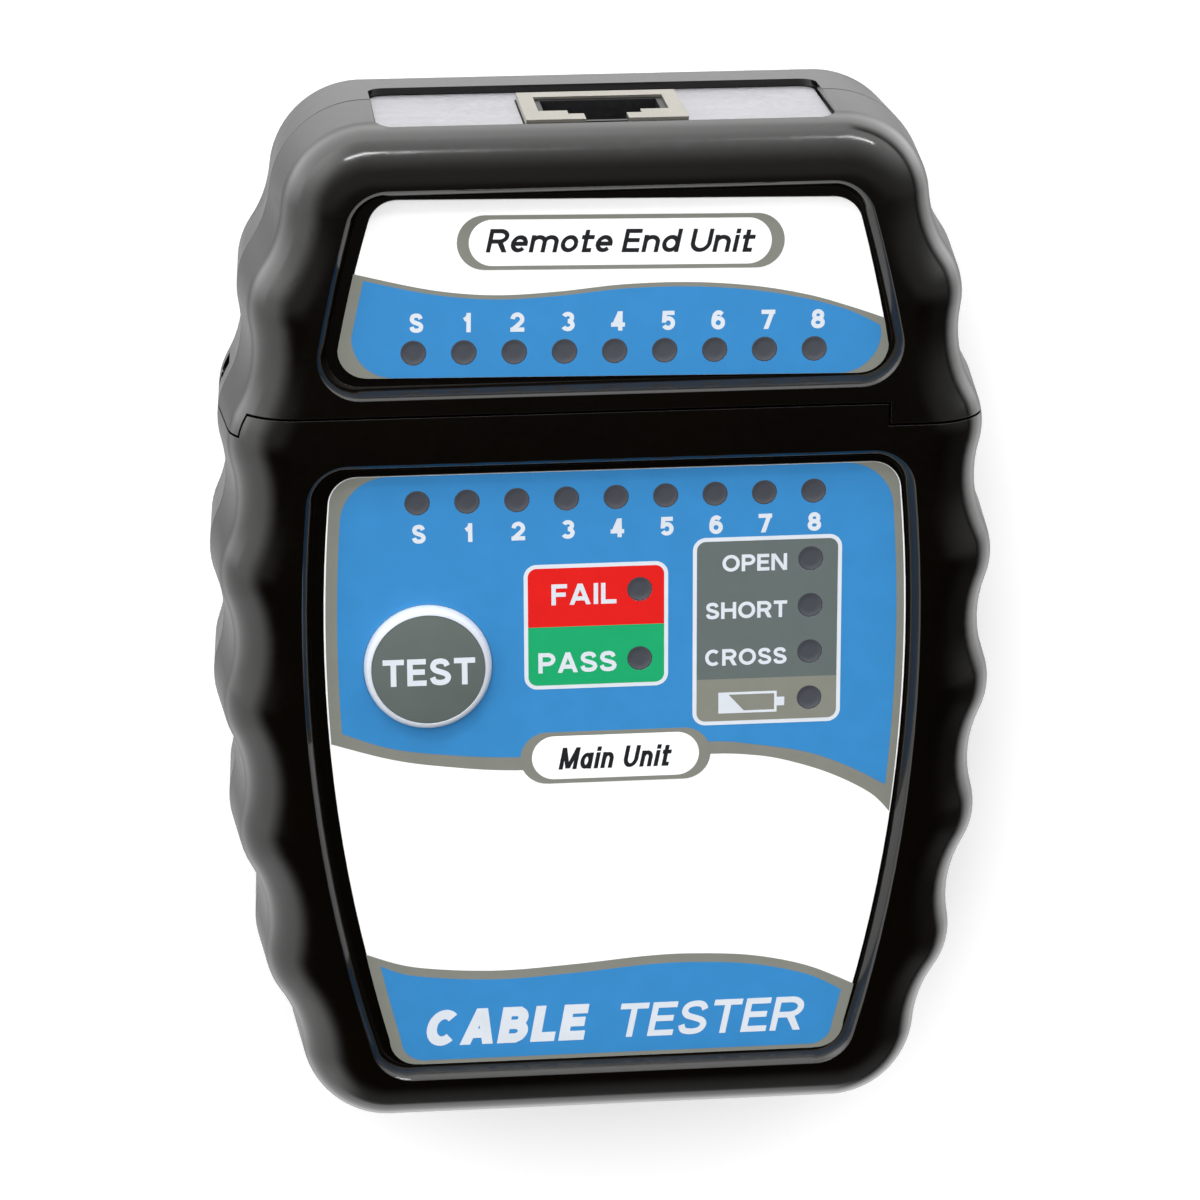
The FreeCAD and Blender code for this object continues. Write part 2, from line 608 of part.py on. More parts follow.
def panel_outline(drawing, inset, low, high, corner, shift=0):
    """A panel whose sides follow the crest arc, with straight ends and round corners."""
    inset, low, high, corner, shift = [sized(s).value for s in (inset, low, high, corner, shift)]
    middle_x = case_half_wide.value - side_radius.value
    radius = side_radius.value - inset
    sides = {}
    for y, towards_end in ((low, 1), (high, -1)):
        corner_y = y + towards_end * corner
        corner_x = middle_x + math.sqrt((radius - corner) ** 2 - corner_y**2)
        turn = math.atan2(corner_y, corner_x - middle_x)
        sides[y] = (corner_x, corner_y, turn)
    low_x, low_y, low_turn = sides[low]
    high_x, high_y, high_turn = sides[high]
    half_pi = math.pi / 2
    drawing.addGeometry(
        [
            Part.LineSegment(V(shift - low_x, low, 0), V(shift + low_x, low, 0)),
            arc(V(shift + low_x, low_y, 0), corner, -half_pi, low_turn),
            arc(V(shift + middle_x, 0, 0), radius, low_turn, high_turn),
            arc(V(shift + high_x, high_y, 0), corner, high_turn, half_pi),
            Part.LineSegment(V(shift + high_x, high, 0), V(shift - high_x, high, 0)),
            arc(V(shift - high_x, high_y, 0), corner, half_pi, math.pi - high_turn),
            arc(V(shift - middle_x, 0, 0), radius, math.pi - high_turn, math.pi - low_turn),
            arc(V(shift - low_x, low_y, 0), corner, math.pi - low_turn, 1.5 * math.pi),
        ]
    )


def rounded_by(radius, depth):
    """How far a rounded edge has turned in, at a depth past where the rounding starts."""
    depth = max(depth, 0)
    return radius - math.sqrt(max(radius**2 - depth**2, 0))


def case_section(body, name, height, draft_share, draft, outer, rounding):
    """The case's outline at one height: drafted, and rounded near the outer face."""
    past = abs(outer.value - height)
    turned_in = rounded_by(rounding.value, rounding.value - past)
    side = draft_share * draft.value + turned_in
    end = draft_share * end_draft.value + turned_in
    drawing = sketch_on(body, name, "XY_Plane", height)
    case_outline(drawing, side, end)
    return drawing


def case_blank(name, outer, draft, rounding):
    """The half of the case between the joint and its outer face, as a solid block."""
    body = new_body(name)
    way = 1 if outer.value > parting.value else -1
    tall = abs(outer.value - parting.value)
    chamfer = joint_chamfer.value
    wall_top = outer.value - way * rounding.value
    joint = sketch_on(body, f"{name}_joint", "XY_Plane", parting)
    case_outline(joint, chamfer, chamfer)
    foot = parting.value + way * chamfer
    root = case_section(body, f"{name}_root", foot, 0, draft, outer, rounding)
    share = 1 - rounding.value / tall
    knee = case_section(body, f"{name}_knee", wall_top, share, draft, outer, rounding)
    loft(body, [joint, root, knee], f"{name}_walls")
    turns = []
    for i in range(ROUND_STEPS + 1):
        rise = rounding.value * math.sin(math.pi / 2 * i / ROUND_STEPS)
        share = 1 - (rounding.value - rise) / tall
        height = wall_top + way * rise
        turn = case_section(body, f"{name}_turn_{i}", height, share, draft, outer, rounding)
        turns.append(turn)
    loft(body, turns, f"{name}_edge", straight=False)
    return body


def panel_block(name, levels, low, high, corner):
    """A block whose sides follow the case: sections of (height, inset, growth of its ends)."""
    body = new_body(name)
    sections = []
    for i, (height, inset, grow) in enumerate(levels):
        drawing = sketch_on(body, f"{name}_section_{i}", "XY_Plane", height)
        panel_outline(drawing, inset, low - grow, high + grow, corner + grow)
        sections.append(drawing)
    loft(body, sections, f"{name}_block")
    return body


def recess(name, inset, low, high, low_margin):
    """The recess that a label lies in, with a sloping wall and a chamfered lip."""
    inset = inset - recess_side_margin
    rim = lip_grow + lip_chamfer
    levels = [
        (label_bottom, inset, sized(0)),
        (case_thick - lip_chamfer, inset - lip_grow, lip_grow),
        (case_thick, inset - rim, rim),
    ]
    low = low - low_margin
    high = high + recess_high_margin
    return panel_block(name, levels, low, high, recess_corner)


def rounded_block(name, x, y, z, axis, radius):
    """A block whose four edges along one axis are rounded."""
    body = new_body(name)
    drawing = sketch_on(body, f"{name}_outline", "XY_Plane", z[0])
    rectangle(drawing, x, y)
    block = pad(body, drawing, sized(z[1]) - z[0], f"{name}_pad")
    doc.recompute()
    edges = []
    for i, edge in enumerate(block.Shape.Edges, 1):
        step = edge.Vertexes[1].Point - edge.Vertexes[0].Point
        if abs(abs(step.dot(axis)) - step.Length) < 1e-6:
            edges.append(f"Edge{i}")
    rounding = body.newObject("PartDesign::Fillet", f"{name}_rounding")
    rounding.Base = (block, edges)
    rounding.setExpression("Radius", sized(radius).text)
    return body


def grown(span, gap):
    """The span between two sizes, longer by a gap at each end."""
    return (sized(span[0]) - gap, sized(span[1]) + gap)


def across(half):
    """The span from one side to the other of a half width."""
    return (-sized(half), sized(half))


# Case shells

front_blank = case_blank("front_blank", case_thick, front_draft, front_round)
rear_blank = case_blank("rear_blank", sized(0), rear_draft, rear_round)
all_heights = (-past, case_thick + past)
main_room = panel_block(
    "main_room",
    [(floor_thick, wall_inset, sized(0)), (ceiling, wall_inset, sized(0))],
    floor_thick - half_length,
    seam_main - floor_thick,
    cavity_corner,
)
remote_room = panel_block(
    "remote_room",
    [(floor_thick, wall_inset, sized(0)), (ceiling, wall_inset, sized(0))],
    remote_wall,
    end_wall_inner,
    cavity_corner,
)
tongue_end = seam_main + tongue_long
main_side = fuse(
    "main_side",
    [
        box("main_region", across(reach), (-reach, seam_main), all_heights),
        box(
            "tongue_region",
            (-reach, tongue_right),
            (seam_main - past, tongue_end),
            (tongue_bottom, case_thick + past),
        ),
    ],
)
remote_side = cut(
    "remote_side",
    box("remote_region", across(reach), (seam_remote, reach), all_heights),
    [
        box(
            "tongue_rebate",
            (-reach, tongue_right + seam_gap),
            (seam_main, tongue_end + seam_gap),
            (tongue_bottom - seam_gap, case_thick + past),
        )
    ],
)
main_recess = recess(
    "main_recess",
    main_label_inset,
    main_label_low,
    main_label_high,
    recess_low_margin,
)
remote_recess = recess(
    "remote_recess",
    remote_label_inset,
    remote_label_low,
    remote_label_high,
    remote_low_margin,
)

main_jack_low = main_board - jack_tall
remote_jack_high = remote_board_top + jack_tall
jack_span = across(jack_wide / 2 + jack_hole_clear)
main_jack_hole = box(
    "main_jack_hole",
    jack_span,
    (seam_main - floor_thick - past, seam_main + past),
    grown((main_jack_low, main_board), jack_hole_clear),
)
remote_jack_hole = box(
    "remote_jack_hole",
    jack_span,
    (end_wall_inner - past, half_length + past),
    grown((remote_board_top, remote_jack_high), jack_hole_clear),
)
end_recess = rounded_block(
    "end_recess",
    across(end_recess_half),
    (half_length - end_recess_deep, half_length + past),
    (end_recess_low, end_recess_high),
    V(0, 1, 0),
    end_recess_corner,
)

row_spots = [(lamp_first + lamp_pitch * i, main_row) for i in range(WIRE_LAMPS)]
remote_spots = [(lamp_first + lamp_pitch * i, remote_row) for i in range(WIRE_LAMPS)]
verdict_spots = [(verdict_column, fail_row), (verdict_column, pass_row)]
fault_spots = [(fault_column, fault_row - fault_pitch * i) for i in range(FAULT_LAMPS)]
main_spots = row_spots + verdict_spots + fault_spots
floor_span = (ceiling - past, label_top + past)


def front_shell(name, side, room, face_recess, bosses, holes):
    """A front shell: its part of the case, hollowed, with its bosses and then its holes."""
    outside = common(f"{name}_outside", front_blank, side)
    hollow = cut(f"{name}_hollow", outside, [room, face_recess])
    return node(name, cut(f"{name}_solid", fuse(f"{name}_filled", [hollow, *bosses]), holes))


def rear_shell(name, side, room, posts, holes):
    """A rear shell, made the same way."""
    outside = common(f"{name}_outside", rear_blank, side)
    hollow = cut(f"{name}_hollow", outside, [room])
    return node(name, cut(f"{name}_solid", fuse(f"{name}_filled", [hollow, *posts]), holes))


def case_screw_holes(name, spots):
    """Counterbores from the back, and the clearance holes in the rear posts."""
    bores = cylinders(f"{name}_bore", screw_head + screw_clear, spots, (-past, screw_seat))
    shafts = cylinders(f"{name}_shaft", screw_shank + screw_clear, spots, (0, parting + past))
    return bores + shafts


screw_tip = screw_seat + screw_long
core_heights = (parting - past, screw_tip + past)
wall_foot = ceiling + bite
rib_heights = (battery_bottom + battery_thick + rib_gap, wall_foot)
ribs = [
    box("battery_rib_left", (rib_left, rib_left + wall_thick), (rib_low, rib_high), rib_heights),
    box("battery_rib_right", (rib_right, rib_right + wall_thick), (rib_low, rib_high), rib_heights),
]
front_shell(
    "main_front_shell",
    main_side,
    main_room,
    main_recess,
    cylinders("main_boss", boss_radius, case_posts_main, (parting, wall_foot))
    + cylinders("main_standoff", standoff_radius, board_posts_main, (main_board_top, wall_foot))
    + ribs,
    cylinders("main_core", screw_shank + thread_clear, case_posts_main, core_heights)
    + cylinders(
        "main_board_core",
        board_screw_shank + thread_clear,
        board_posts_main,
        (main_board, main_board + board_screw_long + past),
    )
    + cylinders("main_lamp_hole", lamp_hole, main_spots, floor_span)
    + [cylinder("button_opening", button_hole, button_x, button_y, floor_span), main_jack_hole],
)
front_shell(
    "remote_front_shell",
    remote_side,
    remote_room,
    remote_recess,
    cylinders("remote_boss", boss_radius, case_posts_remote, (parting, wall_foot)),
    cylinders("remote_core", screw_shank + thread_clear, case_posts_remote, core_heights)
    + cylinders("remote_lamp_hole", lamp_hole, remote_spots, floor_span)
    + [remote_jack_hole, end_recess],
)

# Docking rails on the master, and the slot that they slide in

neck_end = seam_main + rail_neck_long
head_end = neck_end + rail_head_thick
neck_heights = (rail_height - rail_neck / 2, rail_height + rail_neck / 2)
head_heights = (rail_height - rail_head / 2, rail_height + rail_head / 2)
rails = []
for side, span in (("right", (rail_inner, rail_outer)), ("left", (-rail_outer, -rail_inner))):
    rails.append(box(f"rail_neck_{side}", span, (seam_main - past, neck_end), neck_heights))
    rails.append(box(f"rail_head_{side}", span, (neck_end, head_end), head_heights))
slot_span = (-reach, rail_outer + rail_stop)
slot = [
    box("slot_neck", slot_span, (seam_main, neck_end), grown(neck_heights, rail_clear)),
    box(
        "slot_head",
        slot_span,
        grown((neck_end, head_end), rail_clear),
        grown(head_heights, rail_clear),
    ),
]
rear_shell(
    "remote_rear_shell",
    remote_side,
    remote_room,
    cylinders("remote_post", post_radius, case_posts_remote, (floor_thick - bite, parting))
    + cylinders(
        "remote_board_post",
        standoff_radius,
        board_posts_remote,
        (floor_thick - bite, remote_board),
    ),
    case_screw_holes("remote_screw", case_posts_remote)
    + cylinders(
        "remote_board_core",
        board_screw_shank + thread_clear,
        board_posts_remote,
        (remote_board_top - board_screw_long - past, remote_board + past),
    )
    + [*slot, remote_jack_hole, end_recess],
)

# Battery door, which slides off the lower end of the master

door_span = across(door_half)
tongue_span = across(door_half + door_tongue)
door_inner = door_end_thick - half_length
tongue_high = door_high - door_tongue_short
door_region = fuse(
    "door_region",
    [
        box("door_plate", door_span, (-reach, door_high), (-past, floor_thick)),
        box("door_end", door_span, (-reach, door_inner), (-past, door_end_tall)),
        box(
            "door_tongues",
            tongue_span,
            (door_tongue_start, tongue_high),
            (door_tongue_low, floor_thick),
        ),
    ],
)
door_opening = [
    box(
        "door_plate_opening",
        grown(door_span, door_gap),
        (-reach, door_high + door_gap),
        (-past, floor_thick + door_gap),
    ),
    box(
        "door_end_opening",
        grown(door_span, door_gap),
        (-reach, door_inner + 2 * door_gap),
        (-past, door_end_tall + door_gap),
    ),
    box(
        "door_tongue_opening",
        grown(tongue_span, door_gap),
        (-reach, tongue_high + door_gap),
        grown((door_tongue_low, floor_thick), door_gap),
    ),
]
grooves = []
for i in range(FINGER_GROOVES):
    groove_low = door_high - grip_first - grip_step * i
    groove_rows = (groove_low, groove_low + grip_groove)
    grooves.append(
        box(f"door_groove_{i}", across(grip_wide), groove_rows, (-past, grip_groove_deep))
    )
node(
    "battery_door",
    cut("battery_door_solid", common("door_blank", rear_blank, door_region), grooves),
)
node(
    "battery_foam_pad",
    rounded_block(
        "foam",
        across(foam_half),
        (foam_low, foam_high),
        (floor_thick, floor_thick + foam_thick),
        V(0, 0, 1),
        foam_corner,
    ),
)
guide_heights = (floor_thick - bite, floor_thick + door_gap + guide_thick)
guide_rows = (guide_start, door_high)
guides = [
    box("guide_right", (guide_inner, guide_outer), guide_rows, guide_heights),
    box("guide_left", (-guide_outer, -guide_inner), guide_rows, guide_heights),
]
divider = box(
    "divider",
    (divider_left, divider_right),
    (wall_row - wall_thick / 2, wall_row + wall_thick / 2),
    (floor_thick - bite, wall_tall),
)
rear_shell(
    "main_rear_shell",
    main_side,
    main_room,
    cylinders("main_post", post_radius, case_posts_main, (floor_thick - bite, parting))
    + guides
    + rails
    + [divider],
    case_screw_holes("main_screw", case_posts_main) + door_opening + [main_jack_hole],
)


# Labels and the lamp windows in them


def label(name, inset, low, high, spots, more_holes):
    """A printed film with a round hole for each lamp window."""
    body = new_body(f"{name}_body")
    outline = sketch_on(body, f"{name}_outline", "XY_Plane", label_bottom)
    panel_outline(outline, inset, low, high, label_corner, label_shift)
    pad(body, outline, label_thick, f"{name}_film")
    holes = sketch_on(body, f"{name}_holes", "XY_Plane", label_bottom)
    for x, y in spots:
        circle(holes, x, y, lamp_window + thread_clear)
    for x, y, radius in more_holes:
        circle(holes, x, y, radius)
    doc.recompute()
    pocket(body, holes, label_thick, f"{name}_openings")
    return node(name, body)


def windows(name, spots):
    """The smoked windows of a label, one over each lamp."""
    body = new_body(f"{name}_body")
    discs = sketch_on(body, f"{name}_discs", "XY_Plane", label_bottom)
    for x, y in spots:
        circle(discs, x, y, lamp_window)
    pad(body, discs, label_thick, f"{name}_pad")
    return node(name, body)


label(
    "main_label",
    main_label_inset,
    main_label_low,
    main_label_high,
    main_spots,
    [(button_x, button_y, button_hole)],
)
remote_film = label(
    "remote_label",
    remote_label_inset,
    remote_label_low,
    remote_label_high,
    remote_spots,
    [],
)
windows("main_lamp_windows", main_spots)
remote_windows = windows("remote_lamp_windows", remote_spots)


def turn_about(piece, x, y, turn):
    """Turns a flat piece about the upright axis through x, y."""
    cosine = f"cos({turn.text} * 1 deg)"
    sine = f"sin({turn.text} * 1 deg)"
    piece.setExpression(".Placement.Rotation.Angle", turn.text)
    piece.setExpression(".Placement.Base.x", f"{x.text} * (1 - {cosine}) + {y.text} * {sine}")
    piece.setExpression(".Placement.Base.y", f"{y.text} * (1 - {cosine}) - {x.text} * {sine}")


for piece in (remote_film, remote_windows):
    turn_about(piece, label_shift, (remote_label_low + remote_label_high) / 2, remote_label_turn)


# Circuit boards and what they carry


def board(name, half, low, high, bottom, posts):
    """A circuit board with a hole for each of its screws."""
    plate = box(f"{name}_plate", across(half), (low, high), (bottom, bottom + board_thick))
    through = (bottom - past, bottom + board_thick + past)
    holes = cylinders(f"{name}_hole", board_screw_shank + screw_clear, posts, through)
    return node(name, cut(f"{name}_drilled", plate, holes))


def lamps(name, spots, foot):
    """Round lamps with a flange and a domed top."""
    shoulder = foot + lamp_tall - lamp_radius
    parts = cylinders(f"{name}_flange", lamp_flange, spots, (foot, foot + lamp_flange_thick))
    parts += cylinders(f"{name}_shaft", lamp_radius, spots, (foot, shoulder))
    for i, (x, y) in enumerate(spots):
        dome = doc.addObject("Part::Sphere", f"{name}_dome_{i}")
        dome.setExpression("Radius", lamp_radius.text)
        for axis, place in zip("xyz", (x, y, shoulder)):
            dome.setExpression(f".Placement.Base.{axis}", sized(place).text)
        parts.append(dome)
    return node(name, fuse(f"{name}_solid", parts))


board(
    "main_board",
    main_board_half,
    main_board_low,
    main_board_high,
    main_board,
    board_posts_main,
)
board(
    "remote_board",
    remote_board_half,
    remote_board_low,
    remote_board_high,
    remote_board,
    board_posts_remote,
)
lamps("main_wire_lamps", row_spots, main_board_top)
lamps("fail_lamp", verdict_spots[:1], main_board_top)
lamps("pass_lamp", verdict_spots[1:], main_board_top)
lamps("fault_lamps", fault_spots[:3], main_board_top)
lamps("low_battery_lamp", fault_spots[3:], main_board_top)
remote_lamp_foot = ceiling - remote_lamp_gap - lamp_tall
lamps("remote_wire_lamps", remote_spots, remote_lamp_foot)

leads = new_body("remote_lamp_leads_body")
lead_sketch = sketch_on(leads, "remote_lead_pair", "XY_Plane", remote_board_top)
for side in (-1, 1):
    middle = lamp_first + lead_gap * side / 2
    rectangle(
        lead_sketch,
        (middle - lead_thick / 2, middle + lead_thick / 2),
        (remote_row - lead_thick / 2, remote_row + lead_thick / 2),
    )
lead_pair = pad(leads, lead_sketch, remote_lamp_foot - remote_board_top, "remote_lead_pad")
row_of(leads, lead_pair, "X_Axis", lamp_pitch, WIRE_LAMPS, "remote_lead_row")
node("remote_lamp_leads", leads)


def repeated_block(name, x, y, z, step, count):
    """A row of equal blocks along X."""
    body = new_body(f"{name}_body")
    drawing = sketch_on(body, f"{name}_outline", "XY_Plane", z[0])
    rectangle(drawing, x, y)
    first = pad(body, drawing, sized(z[1]) - z[0], f"{name}_pad")
    row_of(body, first, "X_Axis", sized(step), count, f"{name}_row")
    return node(name, body)


resistor_start = lamp_first - resistor_long / 2
for name, row, foot in (
    ("main_resistors", main_resistor_row, main_board_top),
    ("remote_resistors", remote_resistor_row, remote_board_top),
):
    repeated_block(
        name,
        (resistor_start, resistor_start + resistor_long),
        (row, row + resistor_wide),
        (foot, foot + resistor_tall),
        lamp_pitch,
        WIRE_LAMPS,
    )

chip_high = main_board - chip_gap
node(
    "controller_chip",
    rounded_block(
        "chip",
        (chip_left, chip_right),
        (chip_low_edge, chip_high_edge),
        (chip_high - chip_thick, chip_high),
        V(0, 0, 1),
        chip_corner,
    ),
)
pins = new_body("controller_pins_body")
pin_sketch = sketch_on(pins, "pin_profile", "YZ_Plane", chip_left + pin_first)
pin_root = main_board - pin_drop
for edge, way in ((chip_low_edge, -1), (chip_high_edge, 1)):
    knee = edge + pin_out * way / 2
    toe = edge + pin_out * way
    polygon(
        pin_sketch,
        [
            (edge, pin_root),
            (knee + pin_thick * way, pin_root),
            (knee + pin_thick * way, main_board - pin_thick),
            (toe, main_board - pin_thick),
            (toe, main_board),
            (knee, main_board),
            (knee, pin_root + pin_thick),
            (edge, pin_root + pin_thick),
        ],
    )
pin_pair = pad(pins, pin_sketch, pin_wide, "pin_pad")
row_of(pins, pin_pair, "X_Axis", pin_pitch, CHIP_PINS, "pin_row")
node("controller_pins", pins)
can_heights = (main_board - can_tall, main_board)
node("main_capacitor", cylinder("main_capacitor_can", can_radius, can_x, can_y, can_heights))

# TEST button and its switch

switch_high = main_board_top + switch_tall
switch_half = switch_side / 2
switch_box = box(
    "switch_box",
    (button_x - switch_half, button_x + switch_half),
    (button_y - switch_half, button_y + switch_half),
    (main_board_top, switch_high),
)
switch_bore = cylinder(
    "switch_bore",
    plunger_radius + plunger_clear,
    button_x,
    button_y,
    (main_board_top + switch_floor, switch_high + past),
)
node("test_switch_body", cut("switch_housing", switch_box, [switch_bore]))
plunger_high = main_board_top + plunger_top
node(
    "test_switch_plunger",
    cylinder(
        "plunger",
        plunger_radius,
        button_x,
        button_y,
        (main_board_top + plunger_low, plunger_high),
    ),
)
flange_high = ceiling - button_slack
flange_low = flange_high - button_flange_thick
disc_low = button_top - disc_thick
cap = new_body("test_button_cap_body")
turned(
    cap,
    [
        (sized(0), plunger_high),
        (button_stem, plunger_high),
        (button_stem, button_roof),
        (button_hollow, button_roof),
        (button_hollow, flange_low),
        (button_flange, flange_low),
        (button_flange, flange_high),
        (button_radius, flange_high),
        (button_radius, button_top - button_drop),
        (button_radius - button_bevel / 3, button_top - button_drop / 3),
        (button_radius - button_bevel, button_top),
        (button_disc, button_top),
        (button_disc, disc_low),
        (sized(0), disc_low),
    ],
    button_x,
    button_y,
    "button_cap",
)
node("test_button_cap", cap)
node(
    "test_button_disc",
    cylinder("button_disc_film", button_disc, button_x, button_y, (disc_low, button_top)),
)


# Modular sockets, drawn with the mouth at the origin facing +Y and the board side down


def place(piece, turn, y, z):
    """Turns a piece about Y and moves it to the socket's place."""
    piece.Placement = FreeCAD.Placement(V(0, 0, 0), FreeCAD.Rotation(V(0, 1, 0), turn))
    piece.setExpression(".Placement.Base.y", y.text)
    piece.setExpression(".Placement.Base.z", z.text)
    return piece


def socket_shield(name):
    """The folded metal shield with its stepped window."""
    half = jack_wide / 2
    top = jack_tall / 2
    front = (-jack_sheet - past, past)
    outside = box(f"{name}_outside", across(half), (-jack_deep, 0), across(top))
    inside = box(
        f"{name}_inside",
        across(half - jack_sheet),
        (-jack_deep - past, -jack_sheet),
        (-top - past, top - jack_sheet),
    )
    heights = (jack_window_low, jack_window_high)
    window = box(f"{name}_window", across(jack_window_wide / 2), front, heights)
    step = box(f"{name}_step", across(latch_wide / 2), front, (0, latch_step))
    slit = box(f"{name}_slit", across(latch_slit / 2), front, (0, top + past))
    return cut(name, outside, [inside, window, step, slit])


def socket_housing(name):
    """The insulating block with the plug space, the latch channel and the contact trough."""
    skin = jack_sheet + housing_gap
    top = jack_tall / 2
    block = box(
        f"{name}_block",
        across(jack_wide / 2 - skin),
        (-jack_deep + housing_short, -skin),
        (-top, top - skin),
    )
    plug = box(f"{name}_plug", across(plug_wide / 2), (-plug_deep, 0), (plug_low, plug_high))
    latch = box(
        f"{name}_latch",
        across(latch_wide / 2 - latch_ease),
        (-plug_deep, 0),
        (0, latch_step - latch_drop),
    )
    catch = box(f"{name}_catch", across(latch_slit / 2), (-catch_deep, 0), (0, top - catch_roof))
    trough = box(
        f"{name}_trough",
        across(contact_pitch * CONTACTS / 2 + trough_side),
        (-plug_deep, -trough_start),
        (trough_low, plug_low + past),
    )
    return cut(name, block, [plug, latch, catch, trough])


def socket_contacts(name):
    """Eight sprung wires that rise from the trough into the plug space."""
    body = new_body(name)
    thin = contact_thick
    first = -contact_pitch * (CONTACTS - 1) / 2 - thin / 2
    drawing = sketch_on(body, f"{name}_profile", "YZ_Plane", first)
    foot = trough_low + contact_foot
    tip = contact_rise - contact_fall
    polygon(
        drawing,
        [
            (-trough_start - contact_gap, foot),
            (-trough_start - contact_gap, foot + thin),
            (-contact_knee, contact_rise),
            (-plug_deep + contact_gap, tip),
            (-plug_deep + contact_gap, tip - thin),
            (-contact_knee, contact_rise - thin),
        ],
    )
    wire = pad(body, drawing, thin, f"{name}_pad")
    row_of(body, wire, "X_Axis", contact_pitch, CONTACTS, f"{name}_row")
    return body


for unit, turn, face, middle in (
    ("remote", 0, remote_jack_face, remote_board_top + jack_tall / 2),
    ("main", 180, main_jack_face, main_board - jack_tall / 2),
):
    for part, make in (
        ("jack_shield", socket_shield),
        ("jack_housing", socket_housing),
        ("jack_contacts", socket_contacts),
    ):
        node(f"{unit}_{part}", place(make(f"{unit}_{part}_made"), turn, face, middle))

plate_low = half_length - end_recess_deep
plate = rounded_block(
    "end_plate",
    across(end_recess_half - end_plate_margin),
    (plate_low, plate_low + end_plate_thick),
    (end_recess_low + end_plate_margin, end_recess_high - end_plate_margin),
    V(0, 1, 0),
    end_recess_corner - end_plate_margin,
)
node("remote_end_plate", cut("end_plate_cut", plate, [remote_jack_hole]))

# Battery, its snap and its wires

battery_right = battery_left + battery_long
battery_middle = battery_bottom + battery_thick / 2
node(
    "battery_9v",
    rounded_block(
        "battery",
        (battery_left, battery_right),
        (battery_y - battery_wide / 2, battery_y + battery_wide / 2),
        (battery_bottom, battery_bottom + battery_thick),
        V(1, 0, 0),
        battery_corner,
    ),
)


def lying(name, radius, x, y, z):
    """A cylinder along X between two places."""
    rod = cylinder(name, radius, x[0], y, (z, z + (sized(x[1]) - x[0])))
    rod.Placement = FreeCAD.Placement(V(0, 0, 0), FreeCAD.Rotation(V(0, 1, 0), 90))
    return rod


terminals, sockets = [], []
for name, side, radius in (("small", -1, terminal_small), ("large", 1, terminal_large)):
    y = battery_y + terminal_gap * side / 2
    length = (battery_right, battery_right + terminal_long)
    terminals.append(lying(f"{name}_terminal", radius, length, y, battery_middle))
    sockets.append(
        lying(
            f"{name}_socket",
            radius + screw_clear,
            (battery_right, battery_right + terminal_long + screw_clear),
            y,
            battery_middle,
        )
    )
node("battery_terminals", fuse("battery_terminal_pair", terminals))
snap_low = battery_right + snap_gap
snap_block = box(
    "snap_block",
    (snap_low, snap_low + snap_thick),
    (battery_y - snap_wide / 2, battery_y + snap_wide / 2),
    (battery_middle - snap_tall / 2, battery_middle + snap_tall / 2),
)
node("battery_snap", cut("snap_cap", snap_block, sockets))


def battery_wire(name, x):
    """An insulated wire from the snap along the case and up to the board."""
    body = new_body(f"{name}_body")
    start = battery_y + snap_wide / 2
    bend = wire_bend.value
    low, end = wire_height.value, wire_end_row.value
    path = sketch_on(body, f"{name}_path", "YZ_Plane", x)
    knee = V(end - bend, low + bend, 0)
    path.addGeometry(Part.LineSegment(V(start.value, low, 0), V(end - bend, low, 0)))
    path.addGeometry(arc(knee, bend, -math.pi / 2, 0))
    path.addGeometry(Part.LineSegment(V(end, low + bend, 0), V(end, main_board.value, 0)))
    section = sketch_on(body, f"{name}_section", "XZ_Plane", -start)
    circle(section, x, wire_height, wire_radius)
    pipe = body.newObject("PartDesign::AdditivePipe", f"{name}_pipe")
    pipe.Profile = section
    pipe.Spine = (path, [])
    return node(name, body)


battery_wire("battery_wire_red", snap_low + wire_red_in)
battery_wire("battery_wire_black", snap_low + wire_black_in)


# Screws


def screws(name, spots, seat, way, head, thick, shank, long):
    """Pan-head screws with a cross in the head, all one way up. Way is 1 where the tip points up."""
    head_end = seat - thick * way
    tip = seat + long * way
    base = sorted((seat, head_end), key=lambda s: s.value)
    rod = sorted((seat, tip), key=lambda s: s.value)
    cross = sorted((head_end - past * way, head_end + slot_deep * way), key=lambda s: s.value)
    parts = cylinders(f"{name}_head", head, spots, base)
    parts += cylinders(f"{name}_shank", shank, spots, rod)
    arm, half = head * slot_arm, slot_wide / 2
    slots = []
    for i, (x, y) in enumerate(spots):
        slots.append(box(f"{name}_slot_x_{i}", (x - arm, x + arm), (y - half, y + half), cross))
        slots.append(box(f"{name}_slot_y_{i}", (x - half, x + half), (y - arm, y + arm), cross))
    return node(name, cut(f"{name}_cut", fuse(f"{name}_blanks", parts), slots))


for name, spots in (
    ("main_case_screws", case_posts_main),
    ("remote_case_screws", case_posts_remote),
):
    screws(name, spots, screw_seat, 1, screw_head, screw_head_thick, screw_shank, screw_long)
for name, spots, seat, way in (
    ("main_board_screws", board_posts_main, main_board, 1),
    ("remote_board_screws", board_posts_remote, remote_board_top, -1),
):
    screws(
        name,
        spots,
        seat,
        way,
        board_screw_head,
        board_screw_thick,
        board_screw_shank,
        board_screw_long,
    )

doc.recompute()
for thing in doc.Objects:
    if "Invalid" in thing.State or "Error" in thing.State:
        raise RuntimeError(f"{thing.Name} failed: {thing.State}")
for piece in nodes:
    if piece.Shape.isNull() or not piece.Shape.isValid():
        raise RuntimeError(f"{piece.Label} has no valid shape")
os.makedirs("parts", exist_ok=True)
for piece in nodes:
    piece.Shape.exportStep(f"parts/{piece.Label}.step")
    print(f"{piece.Label}: {len(piece.Shape.Solids)} solids, {piece.Shape.Volume:.1f} mm3")
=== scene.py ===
import math

